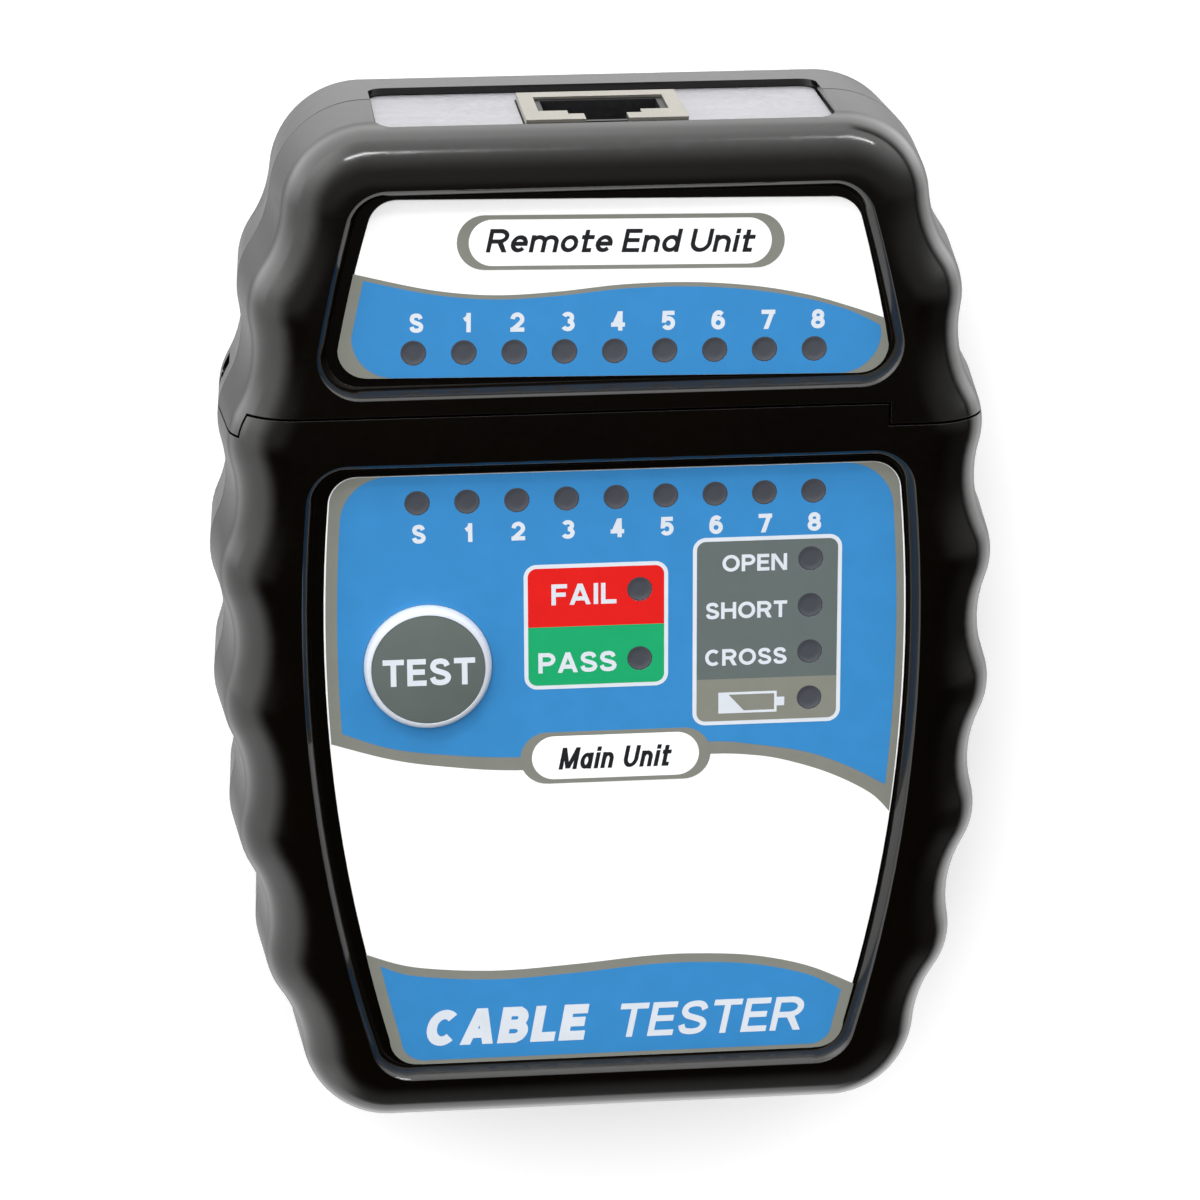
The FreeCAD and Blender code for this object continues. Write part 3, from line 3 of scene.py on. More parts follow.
import bmesh
import bpy
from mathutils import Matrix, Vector, geometry


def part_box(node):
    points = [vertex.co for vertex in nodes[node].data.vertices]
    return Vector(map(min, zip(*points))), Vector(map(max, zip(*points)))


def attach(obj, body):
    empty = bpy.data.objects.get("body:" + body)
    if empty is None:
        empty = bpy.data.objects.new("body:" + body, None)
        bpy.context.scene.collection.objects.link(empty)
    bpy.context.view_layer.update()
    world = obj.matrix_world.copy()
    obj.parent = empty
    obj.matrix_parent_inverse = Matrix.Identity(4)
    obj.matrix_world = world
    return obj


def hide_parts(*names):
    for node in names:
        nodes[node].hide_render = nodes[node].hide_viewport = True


# Looks of the network cable tester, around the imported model. Lengths are millimetres in the
# model's own frame unless a comment says otherwise; MM turns them into metres.

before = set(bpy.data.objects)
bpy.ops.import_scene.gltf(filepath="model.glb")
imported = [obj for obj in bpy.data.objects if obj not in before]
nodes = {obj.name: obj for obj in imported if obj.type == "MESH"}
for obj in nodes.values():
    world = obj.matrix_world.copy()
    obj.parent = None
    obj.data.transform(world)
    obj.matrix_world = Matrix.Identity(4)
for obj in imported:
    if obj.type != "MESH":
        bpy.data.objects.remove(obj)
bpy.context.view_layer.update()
MM = 0.001

# ---------------------------------------------------------------------------------------------
# Sizes taken from the frame
# ---------------------------------------------------------------------------------------------


def span(node, axis):
    """Lowest and highest place of a node along an axis, in millimetres."""
    low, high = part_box(node)
    return low[axis] / MM, high[axis] / MM


def middle(node, axis):
    """Middle of a node along an axis, in millimetres."""
    return sum(span(node, axis)) / 2


CASE_HALF_WIDE = max(span("main_front_shell", 0))
LABEL_TOP = span("main_label", 2)[1]
LABEL_LOW, LABEL_HIGH = span("main_label", 1)
LABEL_SHIFT = middle("main_label", 0)
MAIN_ROW = middle("main_wire_lamps", 1)
FIRST_LAMP, LAST_LAMP = span("main_lamp_windows", 0)
WINDOW_RADIUS = span("main_lamp_windows", 1)[1] - MAIN_ROW
LAMP_PITCH = (LAST_LAMP - FIRST_LAMP - 2 * WINDOW_RADIUS) / 8
LAMPS_X = [FIRST_LAMP + WINDOW_RADIUS + LAMP_PITCH * i for i in range(9)]
REMOTE_ROW = middle("remote_wire_lamps", 1)
VERDICT_X = middle("fail_lamp", 0)
FAIL_Y = middle("fail_lamp", 1)
PASS_Y = middle("pass_lamp", 1)
FAULT_X = middle("low_battery_lamp", 0)
LOW_BATTERY_Y = middle("low_battery_lamp", 1)
FAULT_PITCH = middle("fault_lamps", 1) - LOW_BATTERY_Y
FAULTS_Y = [LOW_BATTERY_Y + FAULT_PITCH / 2 * i for i in range(4)]
BUTTON_X = middle("test_button_cap", 0)
BUTTON_Y = middle("test_button_cap", 1)
BUTTON_LOW, BUTTON_TOP = span("test_button_cap", 2)
BUTTON_RADIUS = 6.62
FLANGE_RADIUS = span("test_button_cap", 0)[1] - BUTTON_X
DISC_RADIUS = span("test_button_disc", 0)[1] - BUTTON_X
DISC_LOW = span("test_button_disc", 2)[0]
PLUNGER_TOP = span("test_switch_plunger", 2)[1]

# The arc of the case's sides, and how far in from it the labels' sides run
SIDE_RADIUS = 172
MAIN_INSET = 10.9
REMOTE_INSET = 10.1
LABEL_CORNER = 2.9

# The remote's label before it is turned about its middle, where it sits slightly askew
REMOTE_LOW, REMOTE_HIGH = 27.9, 46.2
REMOTE_TURN = math.radians(-1)

# ---------------------------------------------------------------------------------------------
# Materials
# ---------------------------------------------------------------------------------------------


def linear(red, green, blue):
    """A colour given as display values from 0 to 255, as the linear values Blender takes."""
    values = []
    for value in (red, green, blue):
        value /= 255
        values.append(value / 12.92 if value <= 0.04045 else ((value + 0.055) / 1.055) ** 2.4)
    return (*values, 1)


CLOUDS_TO_GRAIN = 12
RELIEF_STRENGTH = 0.6
PATTERN_LOW, PATTERN_HIGH = 0.3, 0.7


def new_node(tree, kind, **settings):
    """A shader node with its inputs and properties set by name."""
    made = tree.nodes.new(kind)
    for key, value in settings.items():
        if key in made.inputs:
            made.inputs[key].default_value = value
        else:
            setattr(made, key, value)
    return made


def noise_of(tree, place, scale, detail=3.0, stretch=(1, 1, 1)):
    """A noise pattern fixed to the object, with so many waves a metre."""
    mapping = new_node(tree, "ShaderNodeMapping", Scale=stretch)
    tree.links.new(place, mapping.inputs["Vector"])
    noise = new_node(tree, "ShaderNodeTexNoise", Scale=scale, Detail=detail)
    tree.links.new(mapping.outputs["Vector"], noise.inputs["Vector"])
    return noise.outputs["Fac"]


def ranged(tree, value, low, high):
    """Stretches the middle of a 0 to 1 pattern over a range."""
    remap = new_node(tree, "ShaderNodeMapRange")
    remap.inputs["From Min"].default_value = PATTERN_LOW
    remap.inputs["From Max"].default_value = PATTERN_HIGH
    remap.inputs["To Min"].default_value = low
    remap.inputs["To Max"].default_value = high
    tree.links.new(value, remap.inputs["Value"])
    return remap.outputs["Result"]


def mixed(tree, share, dark, light):
    """A blend of two colours by a 0 to 1 pattern."""
    mix = new_node(tree, "ShaderNodeMix", data_type="RGBA")
    mix.inputs["A"].default_value = dark
    mix.inputs["B"].default_value = light
    tree.links.new(share, mix.inputs["Factor"])
    return mix.outputs["Result"]


def shade(colour, share):
    """The colour, lighter or darker."""
    return (*[min(1, c * share) for c in colour[:3]], 1)


def finish(
    name,
    colour,
    roughness,
    grain=1500,
    variation=0.08,
    rough_spread=0.06,
    bump=0.02,
    stretch=(1, 1, 1),
    metallic=0.0,
    coat=0.0,
    edge_round=0.08,
    **inputs,
):
    """A material with fine grain fixed to the object.

    The grain is in waves a metre, the bump and the rounding of edges in millimetres. The variation
    is a share of the colour, and the spread is how far the roughness goes either way.
    """
    made = bpy.data.materials.new(name)
    made.use_nodes = True
    tree = made.node_tree
    surface = tree.nodes["Principled BSDF"]
    place = new_node(tree, "ShaderNodeTexCoord").outputs["Object"]
    cloud = noise_of(tree, place, grain / CLOUDS_TO_GRAIN, 2.0, stretch)
    fine = noise_of(tree, place, grain, 4.0, stretch)
    tone = ranged(tree, cloud, 0, 1)
    dark, light = shade(colour, 1 - variation), shade(colour, 1 + variation)
    tree.links.new(mixed(tree, tone, dark, light), surface.inputs["Base Color"])
    low, high = max(roughness - rough_spread, 0.02), roughness + rough_spread
    tree.links.new(ranged(tree, fine, low, high), surface.inputs["Roughness"])
    relief = new_node(tree, "ShaderNodeBump", Strength=RELIEF_STRENGTH, Distance=bump * MM)
    tree.links.new(fine, relief.inputs["Height"])
    if edge_round:
        rounding = new_node(tree, "ShaderNodeBevel", samples=4, Radius=edge_round * MM)
        tree.links.new(rounding.outputs["Normal"], relief.inputs["Normal"])
    tree.links.new(relief.outputs["Normal"], surface.inputs["Normal"])
    surface.inputs["Metallic"].default_value = metallic
    surface.inputs["Coat Weight"].default_value = coat
    for key, value in inputs.items():
        surface.inputs[key.replace("_", " ")].default_value = value
    return made


CASE = linear(7, 5, 3)


def print_ink(name, *colour):
    """A flat printed colour with a faint mottle."""
    return finish(name, linear(*colour), 0.45, 4000, 0.03, 0.05, 0.004, edge_round=0)


case_black = finish("case_black", CASE, 0.14, 900, 0.1, 0.03, 0.002, coat=0.15, Coat_Roughness=0.08)
film_white = finish("film_white", linear(250, 250, 250), 0.42, 4000, 0.01, 0.05, 0.004)
ink_blue = print_ink("ink_blue", 50, 129, 189)
ink_grey = print_ink("ink_grey", 124, 126, 118)
ink_slate = print_ink("ink_slate", 92, 102, 101)
ink_olive = print_ink("ink_olive", 126, 127, 117)
ink_red = print_ink("ink_red", 212, 20, 16)
ink_green = print_ink("ink_green", 18, 158, 100)
ink_pale = print_ink("ink_pale", 208, 214, 222)
ink_black = print_ink("ink_black", 22, 24, 28)
window_dark = finish("window_dark", linear(68, 70, 77), 0.35, 6000, 0.05, 0.08, 0.004, coat=0.2)
# The button cap is white plastic. Its colour here is a darker blue-grey white: painted shade and a
# painted reflection of the blue label, the same all over the cap.
button_white = finish("button_white", linear(200, 206, 216), 0.3, 2500, 0.015, 0.05, 0.004, coat=0.2)
button_grey = finish("button_grey", linear(89, 97, 94), 0.42, 3000, 0.04, 0.06, 0.006)
nickel = finish(
    "nickel", linear(176, 172, 162), 0.35, 5000, 0.03, 0.06, 0.002, (1, 1, 0.15), metallic=0.9
)
gold = finish("gold", linear(236, 190, 96), 0.22, 3000, 0.05, 0.06, 0.003, metallic=1.0)
tin = finish("tin", linear(196, 196, 192), 0.35, 3000, 0.08, 0.1, 0.006, metallic=1.0)
silver = finish(
    "silver", linear(166, 165, 169), 0.45, 6500, 0.05, 0.14, 0.006, (0.2, 1, 1), metallic=0.8
)
steel = finish("steel", linear(120, 120, 124), 0.35, 2200, 0.12, 0.12, 0.008, metallic=1.0)
socket_black = finish("socket_black", linear(18, 18, 20), 0.45, 2500, 0.1, 0.08, 0.01)
part_black = finish("part_black", linear(34, 34, 36), 0.55, 3500, 0.12, 0.1, 0.015)
switch_black = finish("switch_black", linear(26, 26, 27), 0.5, 3000, 0.1, 0.1, 0.012)
board_green = finish("board_green", linear(24, 96, 56), 0.35, 2600, 0.16, 0.08, 0.01, coat=0.3)
lamp_clear = finish(
    "lamp_clear", linear(226, 226, 218), 0.15, 1800, 0.03, 0.05, 0.003, Transmission_Weight=0.4
)
lamp_red = finish(
    "lamp_red", linear(196, 40, 32), 0.15, 1800, 0.05, 0.05, 0.003, Transmission_Weight=0.3
)
lamp_green = finish(
    "lamp_green", linear(60, 176, 80), 0.15, 1800, 0.05, 0.05, 0.003, Transmission_Weight=0.3
)
sleeve_blue = finish("sleeve_blue", linear(36, 52, 110), 0.35, 1800, 0.08, 0.06, 0.005, coat=0.2)
snap_black = finish("snap_black", linear(30, 30, 32), 0.6, 2000, 0.1, 0.1, 0.02)
wire_red = finish("wire_red", linear(196, 30, 26), 0.42, 2500, 0.06, 0.08, 0.008)
wire_black = finish("wire_black", linear(24, 24, 26), 0.42, 2500, 0.1, 0.08, 0.008)
foam_grey = finish("foam_grey", linear(70, 70, 74), 0.95, 2600, 0.25, 0.05, 0.25)


JACKET_DARK_SHARE = 0.68


def battery_jacket():
    """Painted steel: dark over most of its length, with a warm band at the terminal end."""
    made = finish("battery_jacket", linear(30, 30, 34), 0.32, 1200, 0.08, 0.06, 0.004, coat=0.4)
    tree = made.node_tree
    surface = tree.nodes["Principled BSDF"]
    split = new_node(tree, "ShaderNodeSeparateXYZ")
    place = new_node(tree, "ShaderNodeTexCoord").outputs["Object"]
    tree.links.new(place, split.inputs["Vector"])
    left, right = span("battery_9v", 0)
    edge = (left + (right - left) * JACKET_DARK_SHARE) * MM
    step = new_node(tree, "ShaderNodeMath", operation="GREATER_THAN")
    step.inputs[1].default_value = edge
    tree.links.new(split.outputs["X"], step.inputs[0])
    bands = new_node(tree, "ShaderNodeMix", data_type="RGBA")
    bands.inputs["B"].default_value = linear(196, 120, 52)
    tree.links.new(surface.inputs["Base Color"].links[0].from_socket, bands.inputs["A"])
    tree.links.new(step.outputs["Value"], bands.inputs["Factor"])
    tree.links.new(bands.outputs["Result"], surface.inputs["Base Color"])
    return made


NODE_LOOKS = {
    "main_front_shell": case_black,
    "main_rear_shell": case_black,
    "remote_front_shell": case_black,
    "remote_rear_shell": case_black,
    "battery_door": case_black,
    "battery_foam_pad": foam_grey,
    "main_label": film_white,
    "remote_label": film_white,
    "main_lamp_windows": window_dark,
    "remote_lamp_windows": window_dark,
    "main_board": board_green,
    "remote_board": board_green,
    "main_wire_lamps": lamp_clear,
    "remote_wire_lamps": lamp_clear,
    "fail_lamp": lamp_red,
    "pass_lamp": lamp_green,
    "fault_lamps": lamp_red,
    "low_battery_lamp": lamp_red,
    "remote_lamp_leads": tin,
    "controller_pins": tin,
    "battery_terminals": tin,
    "main_resistors": part_black,
    "remote_resistors": part_black,
    "controller_chip": part_black,
    "main_capacitor": sleeve_blue,
    "test_switch_body": switch_black,
    "test_switch_plunger": switch_black,
    "test_button_cap": button_white,
    "test_button_disc": button_grey,
    "remote_jack_shield": nickel,
    "main_jack_shield": nickel,
    "remote_jack_housing": socket_black,
    "main_jack_housing": socket_black,
    "remote_jack_contacts": gold,
    "main_jack_contacts": gold,
    "remote_end_plate": silver,
    "battery_9v": battery_jacket(),
    "battery_snap": snap_black,
    "battery_wire_red": wire_red,
    "battery_wire_black": wire_black,
    "main_case_screws": steel,
    "remote_case_screws": steel,
    "main_board_screws": steel,
    "remote_board_screws": steel,
}

SHARP_ANGLE = math.radians(28)
WELD_GAP = 0.002


def smoothing_group():
    """Joins a node's faces along their edges and shades them smooth except at real corners."""
    group = bpy.data.node_groups.new("smooth_node", "GeometryNodeTree")
    group.interface.new_socket("Geometry", in_out="INPUT", socket_type="NodeSocketGeometry")
    group.interface.new_socket("Geometry", in_out="OUTPUT", socket_type="NodeSocketGeometry")
    start = new_node(group, "NodeGroupInput")
    plain = new_node(group, "GeometryNodeRemoveAttribute", Name="custom_normal")
    weld = new_node(group, "GeometryNodeMergeByDistance", Distance=WELD_GAP * MM)
    faces = new_node(group, "GeometryNodeSetShadeSmooth", domain="FACE")
    faces.inputs["Shade Smooth"].default_value = True
    angle = new_node(group, "GeometryNodeInputMeshEdgeAngle")
    sharp = new_node(group, "FunctionNodeCompare", data_type="FLOAT", operation="GREATER_THAN")
    sharp.inputs["B"].default_value = SHARP_ANGLE
    edges = new_node(group, "GeometryNodeSetShadeSmooth", domain="EDGE")
    edges.inputs["Shade Smooth"].default_value = False
    end = new_node(group, "NodeGroupOutput")
    group.links.new(start.outputs[0], plain.inputs["Geometry"])
    group.links.new(plain.outputs["Geometry"], weld.inputs["Geometry"])
    group.links.new(weld.outputs["Geometry"], faces.inputs["Geometry"])
    group.links.new(faces.outputs["Geometry"], edges.inputs["Geometry"])
    group.links.new(angle.outputs["Unsigned Angle"], sharp.inputs["A"])
    group.links.new(sharp.outputs["Result"], edges.inputs["Selection"])
    group.links.new(edges.outputs["Geometry"], end.inputs[0])
    return group


smoothing = smoothing_group()
for node_name, look in NODE_LOOKS.items():
    shown = nodes[node_name]
    shown.data.materials.clear()
    shown.data.materials.append(look)
    shown.modifiers.new("smooth", "NODES").node_group = smoothing

# ---------------------------------------------------------------------------------------------
# Printed labels: each colour is a thin closed layer of ink, with its windows left open
# ---------------------------------------------------------------------------------------------

# Ink is so many steps thick, and more where it lies over other ink
INK_STEP = 0.012
EDGE_GAP = 0.02
BUTTON_GAP = 0.05
CIRCLE_STEPS = 64
CORNER_STEPS = 10
FULL_TURN = 2 * math.pi
QUARTER_TURN = math.pi / 2


def side_x(y, inset):
    """How far right the case's side arc is at y, moved in by an inset."""
    return CASE_HALF_WIDE - SIDE_RADIUS + math.sqrt(SIDE_RADIUS**2 - y**2) - inset


def circle_line(x, y, radius, start=0.0, end=FULL_TURN, steps=CIRCLE_STEPS):
    """Points along an arc, or all round a circle, where the first isn't repeated."""
    count = steps if end - start == FULL_TURN else steps + 1
    turns = [start + (end - start) * i / steps for i in range(count)]
    return [(x + radius * math.cos(a), y + radius * math.sin(a)) for a in turns]


def on_label(x, y, body):
    """A printed point's place on the object, allowing for the askew label of the remote."""
    if body != "remote":
        return x, y
    off_x, off_y = x - LABEL_SHIFT, y - (REMOTE_LOW + REMOTE_HIGH) / 2
    cosine, sine = math.cos(REMOTE_TURN), math.sin(REMOTE_TURN)
    return x - off_x + off_x * cosine - off_y * sine, y - off_y + off_y * cosine + off_x * sine


def quarter_arc(x, y, radius, turn):
    """Points along a quarter of a circle, after so many quarter turns from the right."""
    return circle_line(x, y, radius, turn * QUARTER_TURN, (turn + 1) * QUARTER_TURN, CORNER_STEPS)


def rounded_box(left, right, low, high, radius):
    """The outline of a box with round corners."""
    corners = (
        (right - radius, low + radius, 3),
        (right - radius, high - radius, 0),
        (left + radius, high - radius, 1),
        (left + radius, low + radius, 2),
    )
    line = []
    for x, y, turn in corners:
        line += quarter_arc(x, y, radius, turn)
    return line


def flowing(points, steps=8):
    """A smooth line through the points, with so many steps between two of them."""
    ends = [points[0], *points, points[-1]]
    line = []
    for before, start, end, after in zip(ends, ends[1:], ends[2:], ends[3:]):
        for i in range(steps):
            t = i / steps
            line.append(
                tuple(
                    0.5
                    * (
                        2 * b
                        + (c - a) * t
                        + (2 * a - 5 * b + 4 * c - d) * t**2
                        + (3 * b - a - 3 * c + d) * t**3
                    )
                    for a, b, c, d in zip(before, start, end, after)
                )
            )
    return [*line, points[-1]]


def to_mesh(curve_object):
    """The same piece as a mesh."""
    bpy.context.view_layer.update()
    shown = curve_object.evaluated_get(bpy.context.evaluated_depsgraph_get())
    mesh = bpy.data.meshes.new_from_object(shown)
    made = bpy.data.objects.new(curve_object.name, mesh)
    made.matrix_world = curve_object.matrix_world
    name = curve_object.name
    bpy.data.objects.remove(curve_object)
    made.name = name
    bpy.context.scene.collection.objects.link(made)
    return made


def ink(name, outlines, level, look, body, base=LABEL_TOP):
    """A layer of ink, so many steps thick, where an outline inside another is a hole."""
    drawing = bpy.data.curves.new(name, "CURVE")
    drawing.dimensions = "2D"
    drawing.fill_mode = "BOTH"
    drawing.extrude = INK_STEP * level / 2 * MM
    for outline in outlines:
        spline = drawing.splines.new("POLY")
        spline.points.add(len(outline) - 1)
        for point, spot in zip(spline.points, outline):
            x, y = on_label(*spot, body)
            point.co = (x * MM, y * MM, 0, 1)
        spline.use_cyclic_u = True
    layer = bpy.data.objects.new(name, drawing)
    bpy.context.scene.collection.objects.link(layer)
    layer.location.z = (base + INK_STEP * level / 2) * MM
    layer = to_mesh(layer)
    layer.data.materials.append(look)
    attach(layer, body)
    return layer


# Lettering: each letter has its width for a cap height of 1, and its strokes. A stroke runs up
# between two places, across at a height, round a bow between two angles in degrees, or along a
# line through places. Places are shares of the letter's box.
X_HEIGHT = 0.68
LETTER_GAP = 0.11
WORD_GAP = 0.34
WAIST = 0.52
BOW_STEP = 0.2
LINE_STEPS = 5
NO_AREA = 1e-7
SAME_PLACE = 1e-5
JOIN_GAP = 0.0005
GLYPHS = {
    "1": (0.4, [("up", 0.8, 0, 0.8, 1), ("line", (0.8, 0.97), (0.5, 0.8), (0, 0.68))]),
    "2": (
        0.6,
        [
            ("line", (0, 0.7), (0.12, 0.9), (0.5, 1), (0.86, 0.9), (1, 0.7), (0.86, 0.48), (0, 0)),
            ("across", 0, 0, 1),
        ],
    ),
    "3": (0.6, [("bow", 0.06, WAIST, 0.94, 1, -90, 155), ("bow", 0, 0, 1, WAIST, -155, 90)]),
    "4": (0.64, [("up", 0.74, 0, 0.74, 1), ("across", 0.26, 0, 1), ("up", 0, 0.26, 0.74, 1)]),
    "5": (
        0.6,
        [("across", 1, 0.12, 0.92), ("up", 0.06, 0.5, 0.14, 1), ("bow", 0, 0, 1, 0.64, -150, 130)],
    ),
    "6": (
        0.6,
        [
            ("bow", 0, 0, 1, 0.62, 0, 360),
            ("line", (0, 0.3), (0.02, 0.6), (0.2, 0.9), (0.56, 1), (0.92, 0.87)),
        ],
    ),
    "7": (0.58, [("across", 1, 0, 1), ("up", 0.28, 0, 1, 1)]),
    "8": (0.6, [("bow", 0.08, WAIST, 0.92, 1, 0, 360), ("bow", 0, 0, 1, WAIST, 0, 360)]),
    "A": (0.76, [("up", 0, 0, 0.5, 1), ("up", 1, 0, 0.5, 1), ("across", 0.24, 0.24, 0.76)]),
    "B": (
        0.66,
        [
            ("up", 0, 0, 0, 1),
            ("across", 1, 0, 0.5),
            ("across", WAIST, 0, 0.5),
            ("across", 0, 0, 0.5),
            ("bow", 0.2, WAIST, 0.9, 1, -90, 90),
            ("bow", 0.1, 0, 1, WAIST, -90, 90),
        ],
    ),
    "C": (0.72, [("bow", 0, 0, 1.06, 1, 46, 314)]),
    "E": (
        0.58,
        [("up", 0, 0, 0, 1), ("across", 1, 0, 0.96), ("across", WAIST, 0, 0.88), ("across", 0, 0, 1)],
    ),
    "F": (0.56, [("up", 0, 0, 0, 1), ("across", 1, 0, 1), ("across", 0.5, 0, 0.88)]),
    "H": (0.72, [("up", 0, 0, 0, 1), ("up", 1, 0, 1, 1), ("across", WAIST, 0, 1)]),
    "I": (0.2, [("up", 0.5, 0, 0.5, 1)]),
    "L": (0.55, [("up", 0, 0, 0, 1), ("across", 0, 0, 1)]),
    "M": (
        0.86,
        [("up", 0, 0, 0, 1), ("up", 1, 0, 1, 1), ("up", 0.5, 0.05, 0, 1), ("up", 0.5, 0.05, 1, 1)],
    ),
    "N": (0.74, [("up", 0, 0, 0, 1), ("up", 1, 0, 1, 1), ("up", 1, 0, 0, 1)]),
    "O": (0.82, [("bow", 0, 0, 1, 1, 0, 360)]),
    "P": (
        0.64,
        [
            ("up", 0, 0, 0, 1),
            ("across", 1, 0, 0.5),
            ("across", 0.44, 0, 0.5),
            ("bow", 0.1, 0.44, 1, 1, -90, 90),
        ],
    ),
    "R": (
        0.7,
        [
            ("up", 0, 0, 0, 1),
            ("across", 1, 0, 0.5),
            ("across", 0.46, 0, 0.5),
            ("bow", 0.1, 0.46, 0.96, 1, -90, 90),
            ("up", 1, 0, 0.5, 0.46),
        ],
    ),
    "S": (
        0.64,
        [
            (
                "line",
                (0.95, 0.78),
                (0.8, 0.95),
                (0.5, 1),
                (0.16, 0.94),
                (0.04, 0.75),
                (0.18, 0.59),
                (0.5, 0.5),
                (0.86, 0.4),
                (1, 0.24),
                (0.86, 0.06),
                (0.5, 0),
                (0.14, 0.06),
                (0, 0.25),
            )
        ],
    ),
    "T": (0.64, [("up", 0.5, 0, 0.5, 1), ("across", 1, 0, 1)]),
    "U": (0.7, [("up", 0, 0.4, 0, 1), ("up", 1, 0.4, 1, 1), ("bow", 0, 0, 1, 0.8, 180, 360)]),
    "a": (0.58, [("bow", 0, 0, 0.96, X_HEIGHT, 0, 360), ("up", 1, 0, 1, X_HEIGHT)]),
    "d": (0.6, [("bow", 0, 0, 0.96, X_HEIGHT, 0, 360), ("up", 1, 0, 1, 1)]),
    "e": (0.56, [("bow", 0, 0, 1, X_HEIGHT, 0, 318), ("across", X_HEIGHT / 2, 0, 1)]),
    "i": (0.2, [("up", 0.5, 0, 0.5, X_HEIGHT), ("up", 0.5, 0.97, 0.5, 1)]),
    "m": (
        0.94,
        [
            ("up", 0, 0, 0, X_HEIGHT),
            ("up", 0.5, 0, 0.5, X_HEIGHT - 0.25),
            ("up", 1, 0, 1, X_HEIGHT - 0.25),
            ("bow", 0, X_HEIGHT - 0.5, 0.5, X_HEIGHT, 0, 180),
            ("bow", 0.5, X_HEIGHT - 0.5, 1, X_HEIGHT, 0, 180),
        ],
    ),
    "n": (
        0.56,
        [
            ("up", 0, 0, 0, X_HEIGHT),
            ("up", 1, 0, 1, X_HEIGHT - 0.28),
            ("bow", 0, X_HEIGHT - 0.56, 1, X_HEIGHT, 0, 180),
        ],
    ),
    "o": (0.58, [("bow", 0, 0, 1, X_HEIGHT, 0, 360)]),
    "t": (
        0.42,
        [("up", 0.3, 0, 0.3, 0.95), ("across", 0, 0.3, 0.9), ("across", X_HEIGHT, 0, 1)],
    ),
}


def ribbon(points, half):
    """Four-sided pieces of a stroke of constant width along a line, mitred where they meet."""
    sides = []
    ends = [points[0], *points, points[-1]]
    for before, (x, y), after in zip(ends, points, ends[2:]):
        step_x, step_y = after[0] - before[0], after[1] - before[1]
        length = math.hypot(step_x, step_y)
        across_x, across_y = -step_y / length * half, step_x / length * half
        sides.append(((x + across_x, y + across_y), (x - across_x, y - across_y)))
    return [(b, a, c, d) for (a, b), (c, d) in zip(sides, sides[1:])]


def strokes(glyph, wide, half):
    """The pieces of a glyph of a given width, with strokes of a given half weight."""
    room_x, room_y = wide - 2 * half, 1 - 2 * half

    def at(u, v):
        """A place in the letter's box, with room left for the stroke's weight."""
        return half + u * room_x, half + v * room_y

    pieces = []
    for kind, *numbers in glyph:
        if kind == "up":
            low, high = at(*numbers[:2]), at(*numbers[2:])
            rise = high[1] - low[1]
            reach = half * math.dist(low, high) / rise if rise > half else half
            floor, roof = low[1] - half, high[1] + half
            corners = [(low[0] - reach, floor), (low[0] + reach, floor)]
            corners += [(high[0] + reach, roof), (high[0] - reach, roof)]
            pieces.append(corners)
        elif kind == "across":
            (left, y), (right, _) = at(numbers[1], numbers[0]), at(numbers[2], numbers[0])
            left, right = left - half, right + half
            low, high = y - half, y + half
            pieces.append([(left, low), (right, low), (right, high), (left, high)])
        elif kind == "bow":
            (left, low), (right, high) = at(*numbers[:2]), at(*numbers[2:4])
            start, end = [math.radians(a) for a in numbers[4:]]
            steps = 2 + round((end - start) / BOW_STEP)
            line = []
            for i in range(steps + 1):
                turn = start + (end - start) * i / steps
                x = (left + right) / 2 + (right - left) / 2 * math.cos(turn)
                y = (low + high) / 2 + (high - low) / 2 * math.sin(turn)
                line.append((x, y))
            pieces += ribbon(line, half)
        else:
            pieces += ribbon([at(u, v) for u, v in flowing(numbers, LINE_STEPS)], half)
    return [[(min(max(x, 0), wide), min(max(y, 0), 1)) for x, y in piece] for piece in pieces]


def joined(pieces):
    """The flat pieces as one mesh without overlaps: its points and its triangles."""
    spots, faces = [], []
    for piece in pieces:
        turn = zip(piece, [*piece[1:], piece[0]])
        area = sum(a[0] * b[1] - b[0] * a[1] for a, b in turn)
        if abs(area) < NO_AREA:
            continue
        ring = piece if area > 0 else piece[::-1]
        faces.append(list(range(len(spots), len(spots) + len(ring))))
        spots += [Vector(p) for p in ring]
    whole = geometry.delaunay_2d_cdt(spots, [], faces, 1, SAME_PLACE)
    inside = [face for face, origin in zip(whole[2], whole[5]) if origin]
    return whole[0], inside


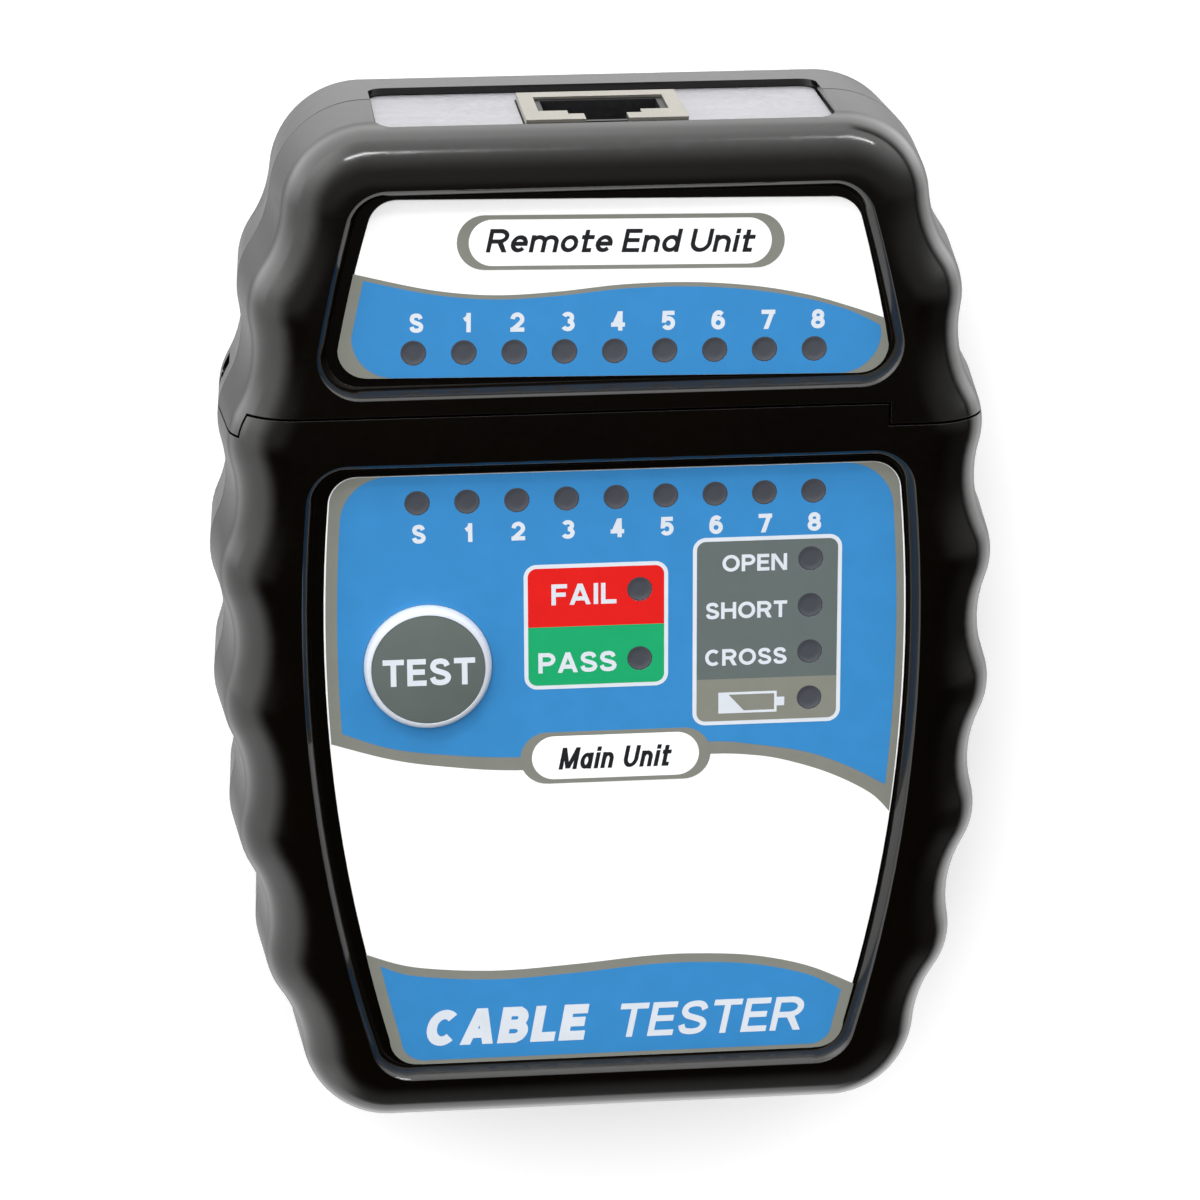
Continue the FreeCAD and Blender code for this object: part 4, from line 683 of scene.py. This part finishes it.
def lettering(
    name, words, x, y, level, look, body, weight=0.2, slant=0.0, base=LABEL_TOP, lean=0.0
):
    """Words that fill a box between two places on each axis, so many ink steps thick.

    The weight of the strokes and the slant are shares of the cap height. Lean lowers the words
    to the right.
    """
    tall = y[1] - y[0]
    shown = [GLYPHS[c] for c in words if c != " "]
    gaps = LETTER_GAP * (len(words) - 1) + (WORD_GAP - LETTER_GAP) * words.count(" ")
    stretch = ((x[1] - x[0]) / tall - slant - gaps) / sum(wide for wide, _ in shown)
    pen = 0
    pieces = []
    for character in words:
        if character == " ":
            pen += WORD_GAP
            continue
        wide, glyph = GLYPHS[character]
        wide = max(wide * stretch, weight)
        for piece in strokes(glyph, wide, weight / 2):
            pieces.append([(pen + px + slant * py, py) for px, py in piece])
        pen += wide + LETTER_GAP
    points, triangles = joined(pieces)
    share = tall / (x[1] - x[0])
    spots = []
    for point in points:
        drop = lean * (point.x * share - 0.5)
        px, py = on_label(x[0] + point.x * tall, y[0] + point.y * tall - drop, body)
        spots.append((px * MM, py * MM, base * MM))
    mesh = bpy.data.meshes.new(name)
    mesh.from_pydata(spots, [], triangles)
    letters = bpy.data.objects.new(name, mesh)
    bpy.context.scene.collection.objects.link(letters)
    thicken(letters, INK_STEP * level)
    letters.data.materials.append(look)
    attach(letters, body)
    return letters


def thicken(piece, height):
    """Raises a flat piece into a closed solid."""
    mesh = bmesh.new()
    mesh.from_mesh(piece.data)
    bmesh.ops.remove_doubles(mesh, verts=mesh.verts, dist=JOIN_GAP * MM)
    bmesh.ops.recalc_face_normals(mesh, faces=mesh.faces)
    if sum(f.normal.z * f.calc_area() for f in mesh.faces) > 0:
        bmesh.ops.reverse_faces(mesh, faces=mesh.faces)
    raised = bmesh.ops.extrude_face_region(mesh, geom=mesh.faces[:])
    top = [e for e in raised["geom"] if isinstance(e, bmesh.types.BMVert)]
    bmesh.ops.translate(mesh, verts=top, vec=(0, 0, height * MM))
    bmesh.ops.recalc_face_normals(mesh, faces=mesh.faces)
    mesh.to_mesh(piece.data)
    mesh.free()


def window_holes(spots):
    """Round openings in the ink over the lamps."""
    return [circle_line(x, y, WINDOW_RADIUS + EDGE_GAP) for x, y in spots]


MAIN_LAMPS = [(x, MAIN_ROW) for x in LAMPS_X]
REMOTE_LAMPS = [(x, REMOTE_ROW) for x in LAMPS_X]
VERDICT_LAMPS = [(VERDICT_X, FAIL_Y), (VERDICT_X, PASS_Y)]
FAULT_LAMPS = [(FAULT_X, y) for y in FAULTS_Y]
BUTTON_HOLE = circle_line(BUTTON_X, BUTTON_Y, BUTTON_RADIUS + BUTTON_GAP)


def side_line(low, high, inset, shift, way, steps=24):
    """Points up the label's side, from low to high, on the right (1) or the left (-1)."""
    heights = [low + (high - low) * i / steps for i in range(steps + 1)]
    return [(shift + way * side_x(y, inset), y) for y in heights]


def corner_arc(low_high, inset, shift, way, radius):
    """The round corner of a label at its lower or upper edge, going up on that side."""
    edge, upward = low_high
    y = edge - upward * radius
    x = shift + way * (side_x(y, inset) - radius)
    return [(x + way * a, y + upward * b) for a, b in quarter_arc(0, 0, radius, 0)]


def upper_panel(wave, high, inset, shift, radius):
    """The part of a panel above a wave that runs from left to right."""
    line = flowing(wave)
    line += side_line(wave[-1][1], high - radius, inset, shift, 1)[1:-1]
    line += corner_arc((high, 1), inset, shift, 1, radius)
    line += corner_arc((high, 1), inset, shift, -1, radius)[::-1]
    line += side_line(wave[0][1], high - radius, inset, shift, -1)[-2:0:-1]
    return line


def lower_panel(wave, low, inset, shift, radius):
    """The part of a panel below a wave that runs from left to right."""
    line = flowing(wave)[::-1]
    line += side_line(low + radius, wave[0][1], inset, shift, -1)[-2:0:-1]
    line += corner_arc((low, -1), inset, shift, -1, radius)
    line += corner_arc((low, -1), inset, shift, 1, radius)[::-1]
    line += side_line(low + radius, wave[-1][1], inset, shift, 1)[1:-1]
    return line


def on_side(y, inset, shift, way):
    """The point of a panel's right (1) or left (-1) side at y."""
    return (shift + way * side_x(y, inset), y)


def moved(points, dx, dy):
    """The points, moved."""
    return [(x + dx, y + dy) for x, y in points]


SIGN_HALF = 0.7
SLIM_SIGN_HALF = 0.5
SIGN_WEIGHT = 0.22
BADGE_WEIGHT = 0.18


def lamp_signs(unit, offset, low, high):
    """The names of a unit's nine lamps in a row, a little to the right of the lamps."""
    for x, sign in zip(LAMPS_X, "S12345678"):
        half = SLIM_SIGN_HALF if sign == "1" else SIGN_HALF
        box = ((x + offset - half, x + offset + half), (low, high))
        lettering(f"{unit}_sign_{sign}", sign, *box, 3, ink_pale, unit, SIGN_WEIGHT)


def remote_print():
    """White label with a grey-edged badge, a wave, and a blue field with the lamps' names."""
    inset, shift = REMOTE_INSET + EDGE_GAP, LABEL_SHIFT
    low = REMOTE_LOW + EDGE_GAP
    crest = [(-18.1, 37), (-11.75, 36.4), (-5.4, 36.7), (1.4, 37.4), (8.3, 37.55)]
    crest += [(14.6, 37.1), (20, 36.15), (24.3, 34.9)]
    start, end = on_side(38.7, inset, shift, -1), on_side(33.65, inset, shift, 1)
    grey = lower_panel([start, *crest, end], low, inset, shift, LABEL_CORNER)
    ink("remote_ink_grey", [grey, *window_holes(REMOTE_LAMPS)], 1, ink_grey, "remote")
    line_wide, blue_corner = 0.45, 4.2
    inset += 0.85
    shift += 0.3
    lower = moved(crest, 0, -line_wide)
    start, end = on_side(38.0, inset, shift, -1), on_side(32.9, inset, shift, 1)
    blue = lower_panel([start, *lower, end], low, inset, shift, blue_corner)
    ink("remote_ink_blue", [blue, *window_holes(REMOTE_LAMPS)], 2, ink_blue, "remote")
    badge("remote", (-15.5, 17.5), (39.0, 44.6), (-14.3, 16.2), (39.4, 44.15), "remote")
    lettering(
        "remote_words",
        "Remote End Unit",
        (-12.6, 14.7),
        (40.7, 43.1),
        4,
        ink_black,
        "remote",
        BADGE_WEIGHT,
        slant=0.2,
        lean=0.2,
    )
    lamp_signs("remote", 0.3, 32.6, 34.6)


def badge(name, outer_x, outer_y, inner_x, inner_y, body):
    """A white lozenge in a thicker grey one. Their ends are round but for a short straight."""
    straight = 0.02
    outer = rounded_box(*outer_x, *outer_y, (outer_y[1] - outer_y[0] - straight) / 2)
    inner = rounded_box(*inner_x, *inner_y, (inner_y[1] - inner_y[0] - straight) / 2)
    ink(f"{name}_badge_grey", [outer], 3, ink_grey, body)
    ink(f"{name}_badge_white", [inner], 3.4, film_white, body)


def framed_box(name, x, y, split, upper, lower, windows):
    """A two-colour box with a pale border and openings for its lamps."""
    border = 0.42
    corner = 1.35
    outline = rounded_box(*x, *y, corner)
    holes = window_holes(windows)
    ink(f"{name}_border", [outline, *holes], 3, ink_pale, "main")
    left, right = x[0] + border, x[1] - border
    low, high = y[0] + corner, y[1] - corner
    inner = corner - border
    top = [(left, split), (right, split)]
    top += quarter_arc(right - inner, high, inner, 0)
    top += quarter_arc(left + inner, high, inner, 1)
    bottom = [(right, split), (left, split)]
    bottom += quarter_arc(left + inner, low, inner, 2)
    bottom += quarter_arc(right - inner, low, inner, 3)
    upper_holes = [h for h, (_, v) in zip(holes, windows) if v > split]
    lower_holes = [h for h, (_, v) in zip(holes, windows) if v < split]
    ink(f"{name}_upper", [top, *upper_holes], 4, upper, "main")
    ink(f"{name}_lower", [bottom, *lower_holes], 4, lower, "main")


def corners_of(left, right, low, high):
    """The corners of a box, from the lower left one round to the upper left one."""
    return [(left, low), (right, low), (right, high), (left, high)]


def battery_sign(left, right, low, high):
    """A battery outline with a nub, filled at the left up to a slanting edge."""
    line = 0.26
    body_right = right - 0.8
    nub_inset = (high - low) / 3.4
    wide = right - left
    outer = corners_of(left, body_right, low, high)
    inner = corners_of(left + line, body_right - line, low + line, high - line)
    ink("battery_sign_frame", [outer, inner], 5, ink_pale, "main")
    nub = corners_of(body_right, right, low + nub_inset, high - nub_inset)
    ink("battery_sign_nub", [nub], 5, ink_pale, "main")
    filled = [(left, low), (left + 0.42 * wide, low), (left + 0.12 * wide, high), (left, high)]
    ink("battery_sign_level", [filled], 5.4, ink_pale, "main")


def main_print():
    """Blue upper field with its boxes, white middle and blue lower field."""
    inset, shift = MAIN_INSET + EDGE_GAP, LABEL_SHIFT
    high, blue_corner = LABEL_HIGH - EDGE_GAP, 5
    all_holes = window_holes(MAIN_LAMPS + VERDICT_LAMPS + FAULT_LAMPS) + [BUTTON_HOLE]
    crest = [(-23.2, -12.45), (-17.8, -13.45), (-10.1, -14.2), (0.3, -14.0), (9.5, -13.2)]
    crest += [(15, -13.5), (19, -14.4), (23.3, -16), (27.2, -18.2)]
    start, end = on_side(-10.6, inset, shift, -1), on_side(-20.3, inset, shift, 1)
    grey = upper_panel([start, *crest, end], high, inset, shift, LABEL_CORNER)
    ink("main_ink_grey", [grey, *all_holes], 1, ink_grey, "main")
    inset += 1.0
    shift += 0.2
    crest = [(-23.2, -11.25), (-17.8, -12.15), (-10.1, -12.75), (0.3, -12.4), (10, -11.8)]
    crest += [(15, -12.3), (20.6, -13.4), (25, -15.2)]
    start, end = on_side(-9.5, inset, shift, -1), on_side(-17.3, inset, shift, 1)
    blue = upper_panel([start, *crest, end], high, inset, shift, blue_corner)
    ink("main_ink_blue", [blue, *all_holes], 2, ink_blue, "main")
    badge("main", (-9.55, 10.3), (-15.8, -10.15), (-8.35, 9.1), (-15.35, -10.6), "main")
    words = ((-5.6, 6.4), (-14.3, -11.9))
    lettering("main_words", "Main Unit", *words, 4, ink_black, "main", BADGE_WEIGHT, slant=0.2)
    lamp_signs("main", 0.12, 10.8, 12.8)
    framed_box("verdict", (-9.05, 5.85), (-5.4, 8.1), 1.35, ink_red, ink_green, VERDICT_LAMPS)
    framed_box("fault", (8.4, 23.85), (-10.0, 10.4), -4.97, ink_slate, ink_olive, FAULT_LAMPS)
    lettering("fail_word", "FAIL", (-6.2, 0.5), (3.7, 5.95), 5, ink_pale, "main")
    lettering("pass_word", "PASS", (-7.6, 0.5), (-3.65, -1.45), 5, ink_pale, "main")
    lettering("open_word", "OPEN", (11.45, 18.15), (6.7, 8.5), 5, ink_pale, "main")
    lettering("short_word", "SHORT", (9.75, 18.2), (1.6, 3.4), 5, ink_pale, "main")
    lettering("cross_word", "CROSS", (9.7, 18.2), (-3.5, -1.7), 5, ink_pale, "main")
    battery_sign(11.1, 18.0, -8.75, -6.45)
    lower_print()


def lower_print():
    """The lower blue field with a grey wave over it, and the instrument's generic name."""
    inset, shift = MAIN_INSET + EDGE_GAP, LABEL_SHIFT
    crest = [(-20.9, -35.85), (-12.6, -36.6), (-4.3, -36.25), (4.1, -35.6), (9.6, -35.6)]
    crest += [(15.2, -36.1), (20.8, -37.5)]
    start, end = on_side(-34.2, inset, shift, -1), on_side(-39.8, inset, shift, 1)
    grey = lower_panel([start, *crest, end], LABEL_LOW + EDGE_GAP, inset, shift, LABEL_CORNER)
    ink("lower_ink_grey", [grey], 1, ink_grey, "main")
    line_wide, foot, blue_corner = 1, 0.45, 2.4
    inset += 1.2
    start, end = on_side(-35.6, inset, shift, -1), on_side(-40.4, inset, shift, 1)
    lower = moved(crest, 0, -line_wide)
    blue = lower_panel([start, *lower, end], LABEL_LOW + foot, inset, shift, blue_corner)
    ink("lower_ink_blue", [blue], 2, ink_blue, "main")
    bold, light = 0.26, 0.17
    first = ((-20.1, -2.4), (-44.95, -40.85))
    second = ((0.2, 20.8), (-44.85, -41))
    lettering("name_word_1", "CABLE", *first, 3, ink_pale, "main", bold, slant=0.18)
    lettering("name_word_2", "TESTER", *second, 3, ink_pale, "main", light, slant=0.2)


remote_print()
main_print()

# ---------------------------------------------------------------------------------------------
# Round pieces turned on a lathe
# ---------------------------------------------------------------------------------------------

LATHE_STEPS = 128


def lathe(name, profile, x, y, look, slot, body, replaced=None):
    """A closed solid turned from (radius, height) corners, both ends on the axis.

    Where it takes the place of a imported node, that node's name is given as replaced.
    """
    mesh = bmesh.new()
    rings = []
    for radius, height in profile:
        if radius == 0:
            rings.append([mesh.verts.new((x * MM, y * MM, height * MM))])
            continue
        ring = circle_line(x, y, radius, steps=LATHE_STEPS)
        rings.append([mesh.verts.new((px * MM, py * MM, height * MM)) for px, py in ring])
    for lower, upper in zip(rings, rings[1:]):
        for i in range(LATHE_STEPS):
            j = (i + 1) % LATHE_STEPS
            quad = [lower[i % len(lower)], lower[j % len(lower)], upper[j % len(upper)]]
            quad.append(upper[i % len(upper)])
            mesh.faces.new(list(dict.fromkeys(quad)))
    bmesh.ops.recalc_face_normals(mesh, faces=mesh.faces)
    data = bpy.data.meshes.new(name)
    mesh.to_mesh(data)
    mesh.free()
    data.materials.append(look)
    for face in data.polygons:
        face.use_smooth = True
    piece = bpy.data.objects.new(name, data)
    bpy.context.scene.collection.objects.link(piece)
    piece.modifiers.new("smooth", "NODES").node_group = smoothing
    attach(piece, body)
    if replaced:
        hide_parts(replaced)
    return piece


def quarter_round(radius, height, bend, steps=4):
    """Profile points from the foot of a rounded rim, up and in to its top."""
    turns = [QUARTER_TURN * i / steps for i in range(steps + 1)]
    return [
        (radius - bend + bend * math.cos(a), height - bend + bend * math.sin(a)) for a in turns
    ]


def rim_curve(wide, tall, height, steps=12):
    """Profile points of the button's soft rim, from its side up and in to its top."""
    turns = [QUARTER_TURN * i / steps for i in range(steps + 1)]
    return [
        (BUTTON_RADIUS - wide * (1 - math.cos(a)), height - tall * (1 - math.sin(a)))
        for a in turns
    ]


def test_button():
    """The white cap with a soft bevelled rim, its grey disc and the word on it."""
    stem, hollow, roof_thick, flange_thick = 2, 5.5, 1.75, 1.5
    bevel_tall, rim_drop, rim_lip = 1.15, 0.03, 0.05
    disc_gap, disc_drop, disc_bend = 0.02, 0.04, 0.06
    roof = BUTTON_TOP - roof_thick
    flange_high = BUTTON_LOW + flange_thick
    rim_top = BUTTON_TOP - rim_drop
    bevel_wide = BUTTON_RADIUS - DISC_RADIUS - 2 * rim_lip
    profile = [(0, PLUNGER_TOP), (stem, PLUNGER_TOP), (stem, roof), (hollow, roof)]
    profile += [(hollow, BUTTON_LOW), (FLANGE_RADIUS, BUTTON_LOW), (FLANGE_RADIUS, flange_high)]
    profile += [(BUTTON_RADIUS, flange_high), *rim_curve(bevel_wide, bevel_tall, rim_top)]
    profile += [(DISC_RADIUS + rim_lip, BUTTON_TOP), (DISC_RADIUS + disc_gap, rim_top)]
    profile += [(DISC_RADIUS, BUTTON_TOP - 2 * rim_lip), (DISC_RADIUS, DISC_LOW), (0, DISC_LOW)]
    place = (BUTTON_X, BUTTON_Y)
    # The cap's colour is white with painted shade and a painted blue reflection in it.
    look = button_white
    lathe("test_button", profile, *place, look, "button_white", "test_button", "test_button_cap")
    face = BUTTON_TOP - disc_drop
    disc = [(0, DISC_LOW), (DISC_RADIUS - disc_gap, DISC_LOW)]
    disc += quarter_round(DISC_RADIUS - disc_gap, face, disc_bend)
    disc += [(0, face)]
    look = button_grey
    lathe("test_disc", disc, *place, look, "button_grey", "test_button", "test_button_disc")
    across = (BUTTON_X - 4.7, BUTTON_X + 4.8)
    upright = (BUTTON_Y - 1.7, BUTTON_Y + 1.2)
    word = lettering("test_word", "TEST", across, upright, 1.5, ink_pale, "test_button", base=face)


test_button()


def lamp_lens(name, x, y, body):
    """A smoked window: a shallow dish inside a thin dark rim."""
    low, rim_top = LABEL_TOP - 0.19, LABEL_TOP + 0.015
    rim_wide, lip_wide = 0.12, 0.2
    radius = WINDOW_RADIUS
    dish = [(0, low), (radius, low), (radius, rim_top), (radius - rim_wide, rim_top)]
    dish += [(radius - lip_wide, LABEL_TOP - 0.03), (radius / 2, LABEL_TOP - 0.045)]
    dish += [(0, LABEL_TOP - 0.05)]
    lens = lathe(name, dish, x, y, window_dark, "lamp_window", body)
    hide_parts(f"{body}_lamp_windows")


def lamp_lenses():
    """The smoked windows of both labels."""
    for unit, spots in (
        ("main", MAIN_LAMPS + VERDICT_LAMPS + FAULT_LAMPS),
        ("remote", REMOTE_LAMPS),
    ):
        for i, spot in enumerate(spots):
            lamp_lens(f"{unit}_window_{i}", *on_label(*spot, unit), unit)


lamp_lenses()

# ---------------------------------------------------------------------------------------------
# Floor, lights and camera
# ---------------------------------------------------------------------------------------------

# Brightness of the surroundings, where 1 shows as white. Heights are sines of the elevation:
# the left is bright up to BAND_FULL and dark from BAND_END; the far end dims all the way up.
BAND_FULL = 0.35
BAND_END = 0.85
LEFT_GLOW = 1.5
RIGHT_GLOW = 0.06
NEAR_GLOW = 0.2
FAR_GLOW = 2.6
FAR_END = 0.95
CEILING_GLOW = 0.28
# The bright table, as it shows in reflections
TABLE_SIDES = 1.5
TABLE_FAR = 3.6
TABLE_UNDER = 0.3
TABLE_RIGHT_EDGE = -0.4
HORIZON = 0.05

# The camera's place in metres, its turn about each axis in degrees and its lens in millimetres
CAMERA_PLACE = (-0.0424, 0.1451, 0.4544)
CAMERA_TURN = (-18.176, -5.579, -0.204)
CAMERA_LENS = 131.9


def add_floor():
    """A pale floor that the tester lies on."""
    bpy.ops.mesh.primitive_plane_add(size=6)
    floor = bpy.context.object
    floor.name = "floor"
    made = bpy.data.materials.new("floor_white")
    made.use_nodes = True
    surface = made.node_tree.nodes["Principled BSDF"]
    surface.inputs["Base Color"].default_value = (0.93, 0.93, 0.93, 1)
    surface.inputs["Roughness"].default_value = 0.9
    surface.inputs["Specular IOR Level"].default_value = 0.0
    surface.inputs["Emission Color"].default_value = (1, 1, 1, 1)
    surface.inputs["Emission Strength"].default_value = 0.3
    floor.data.materials.append(made)
    floor.visible_glossy = False


def add_light(name, place, target, size, power):
    """A soft rectangular light, aimed at a target. Places and sizes are metres, power is watts."""
    data = bpy.data.lights.new(name, "AREA")
    data.shape = "RECTANGLE"
    data.size, data.size_y = size
    data.energy = power
    light = bpy.data.objects.new(name, data)
    bpy.context.scene.collection.objects.link(light)
    light.location = place
    aim = Vector(target) - Vector(place)
    light.rotation_euler = aim.to_track_quat("-Z", "Y").to_euler()
    return light


def add_world():
    """A dark room above a bright table, bright on the left and towards the far end."""
    world = bpy.data.worlds.new("surround")
    bpy.context.scene.world = world
    world.use_nodes = True
    tree = world.node_tree
    way = new_node(tree, "ShaderNodeSeparateXYZ")
    place = new_node(tree, "ShaderNodeTexCoord").outputs["Generated"]
    tree.links.new(place, way.inputs["Vector"])

    def graded(axis, start, end, first, last, kind="SMOOTHSTEP"):
        """A brightness that goes from first to last between two places along a direction."""
        step = new_node(tree, "ShaderNodeMapRange", interpolation_type=kind)
        numbers = zip(("From Min", "From Max", "To Min", "To Max"), (start, end, first, last))
        for key, number in numbers:
            step.inputs[key].default_value = number
        tree.links.new(way.outputs[axis], step.inputs["Value"])
        return step.outputs["Result"]

    def combined(operation, *values):
        """The values put together one after another by one operation."""
        result = values[0]
        for value in values[1:]:
            step = new_node(tree, "ShaderNodeMath", operation=operation)
            tree.links.new(result, step.inputs[0])
            tree.links.new(value, step.inputs[1])
            result = step.outputs["Value"]
        return result

    band = graded("Z", BAND_FULL, BAND_END, 1, 0)
    left = combined("MULTIPLY", band, graded("X", -0.2, -0.7, RIGHT_GLOW, LEFT_GLOW))
    near = combined("MULTIPLY", band, graded("Y", -0.45, -0.8, 0, NEAR_GLOW))
    slope = graded("Z", 0, FAR_END, 1, 0, "LINEAR")
    far = combined("MULTIPLY", slope, graded("Y", 0, 0.7, 0, FAR_GLOW))
    ceiling = graded("Y", -0.3, 0, 0, CEILING_GLOW)
    room = combined("ADD", left, near, far, ceiling)
    above = combined("MULTIPLY", room, graded("Z", -HORIZON, HORIZON, 0, 1))
    table = graded("Y", -0.15, 0.35, TABLE_SIDES, TABLE_FAR)
    edge = graded("Z", TABLE_RIGHT_EDGE, 0, 1, 0)
    open_side = combined("MAXIMUM", edge, graded("X", 0, 0.5, 1, 0))
    under = graded("Z", -0.93, -0.6, TABLE_UNDER, 1)
    below = combined("MULTIPLY", table, open_side, under, graded("Z", -HORIZON, HORIZON, 1, 0))
    background = tree.nodes["Background"]
    background.inputs["Color"].default_value = (1, 1, 1, 1)
    tree.links.new(combined("ADD", above, below), background.inputs["Strength"])


def add_camera():
    """The camera at the viewing angle of a product picture taken from above the remote's end."""
    data = bpy.data.cameras.new("camera")
    data.sensor_width = 36
    data.lens = CAMERA_LENS
    data.clip_start = 0.01
    camera = bpy.data.objects.new("camera", data)
    bpy.context.scene.collection.objects.link(camera)
    camera.location = CAMERA_PLACE
    camera.rotation_euler = [math.radians(a) for a in CAMERA_TURN]
    bpy.context.scene.camera = camera


add_floor()
add_world()
add_light("far_left", (-0.28, 1.2, 0.72), (0, 0.05, 0.02), (0.66, 0.08), 4)
add_light("far_right", (0.5, 1.15, 0.42), (0, 0.05, 0.02), (0.6, 0.04), 2.6)
overhead = add_light("overhead", (-0.12, 0.32, 0.85), (0, 0, 0.02), (0.8, 0.8), 5)
overhead.visible_glossy = False
add_camera()
bpy.context.scene.view_settings.view_transform = "Standard"
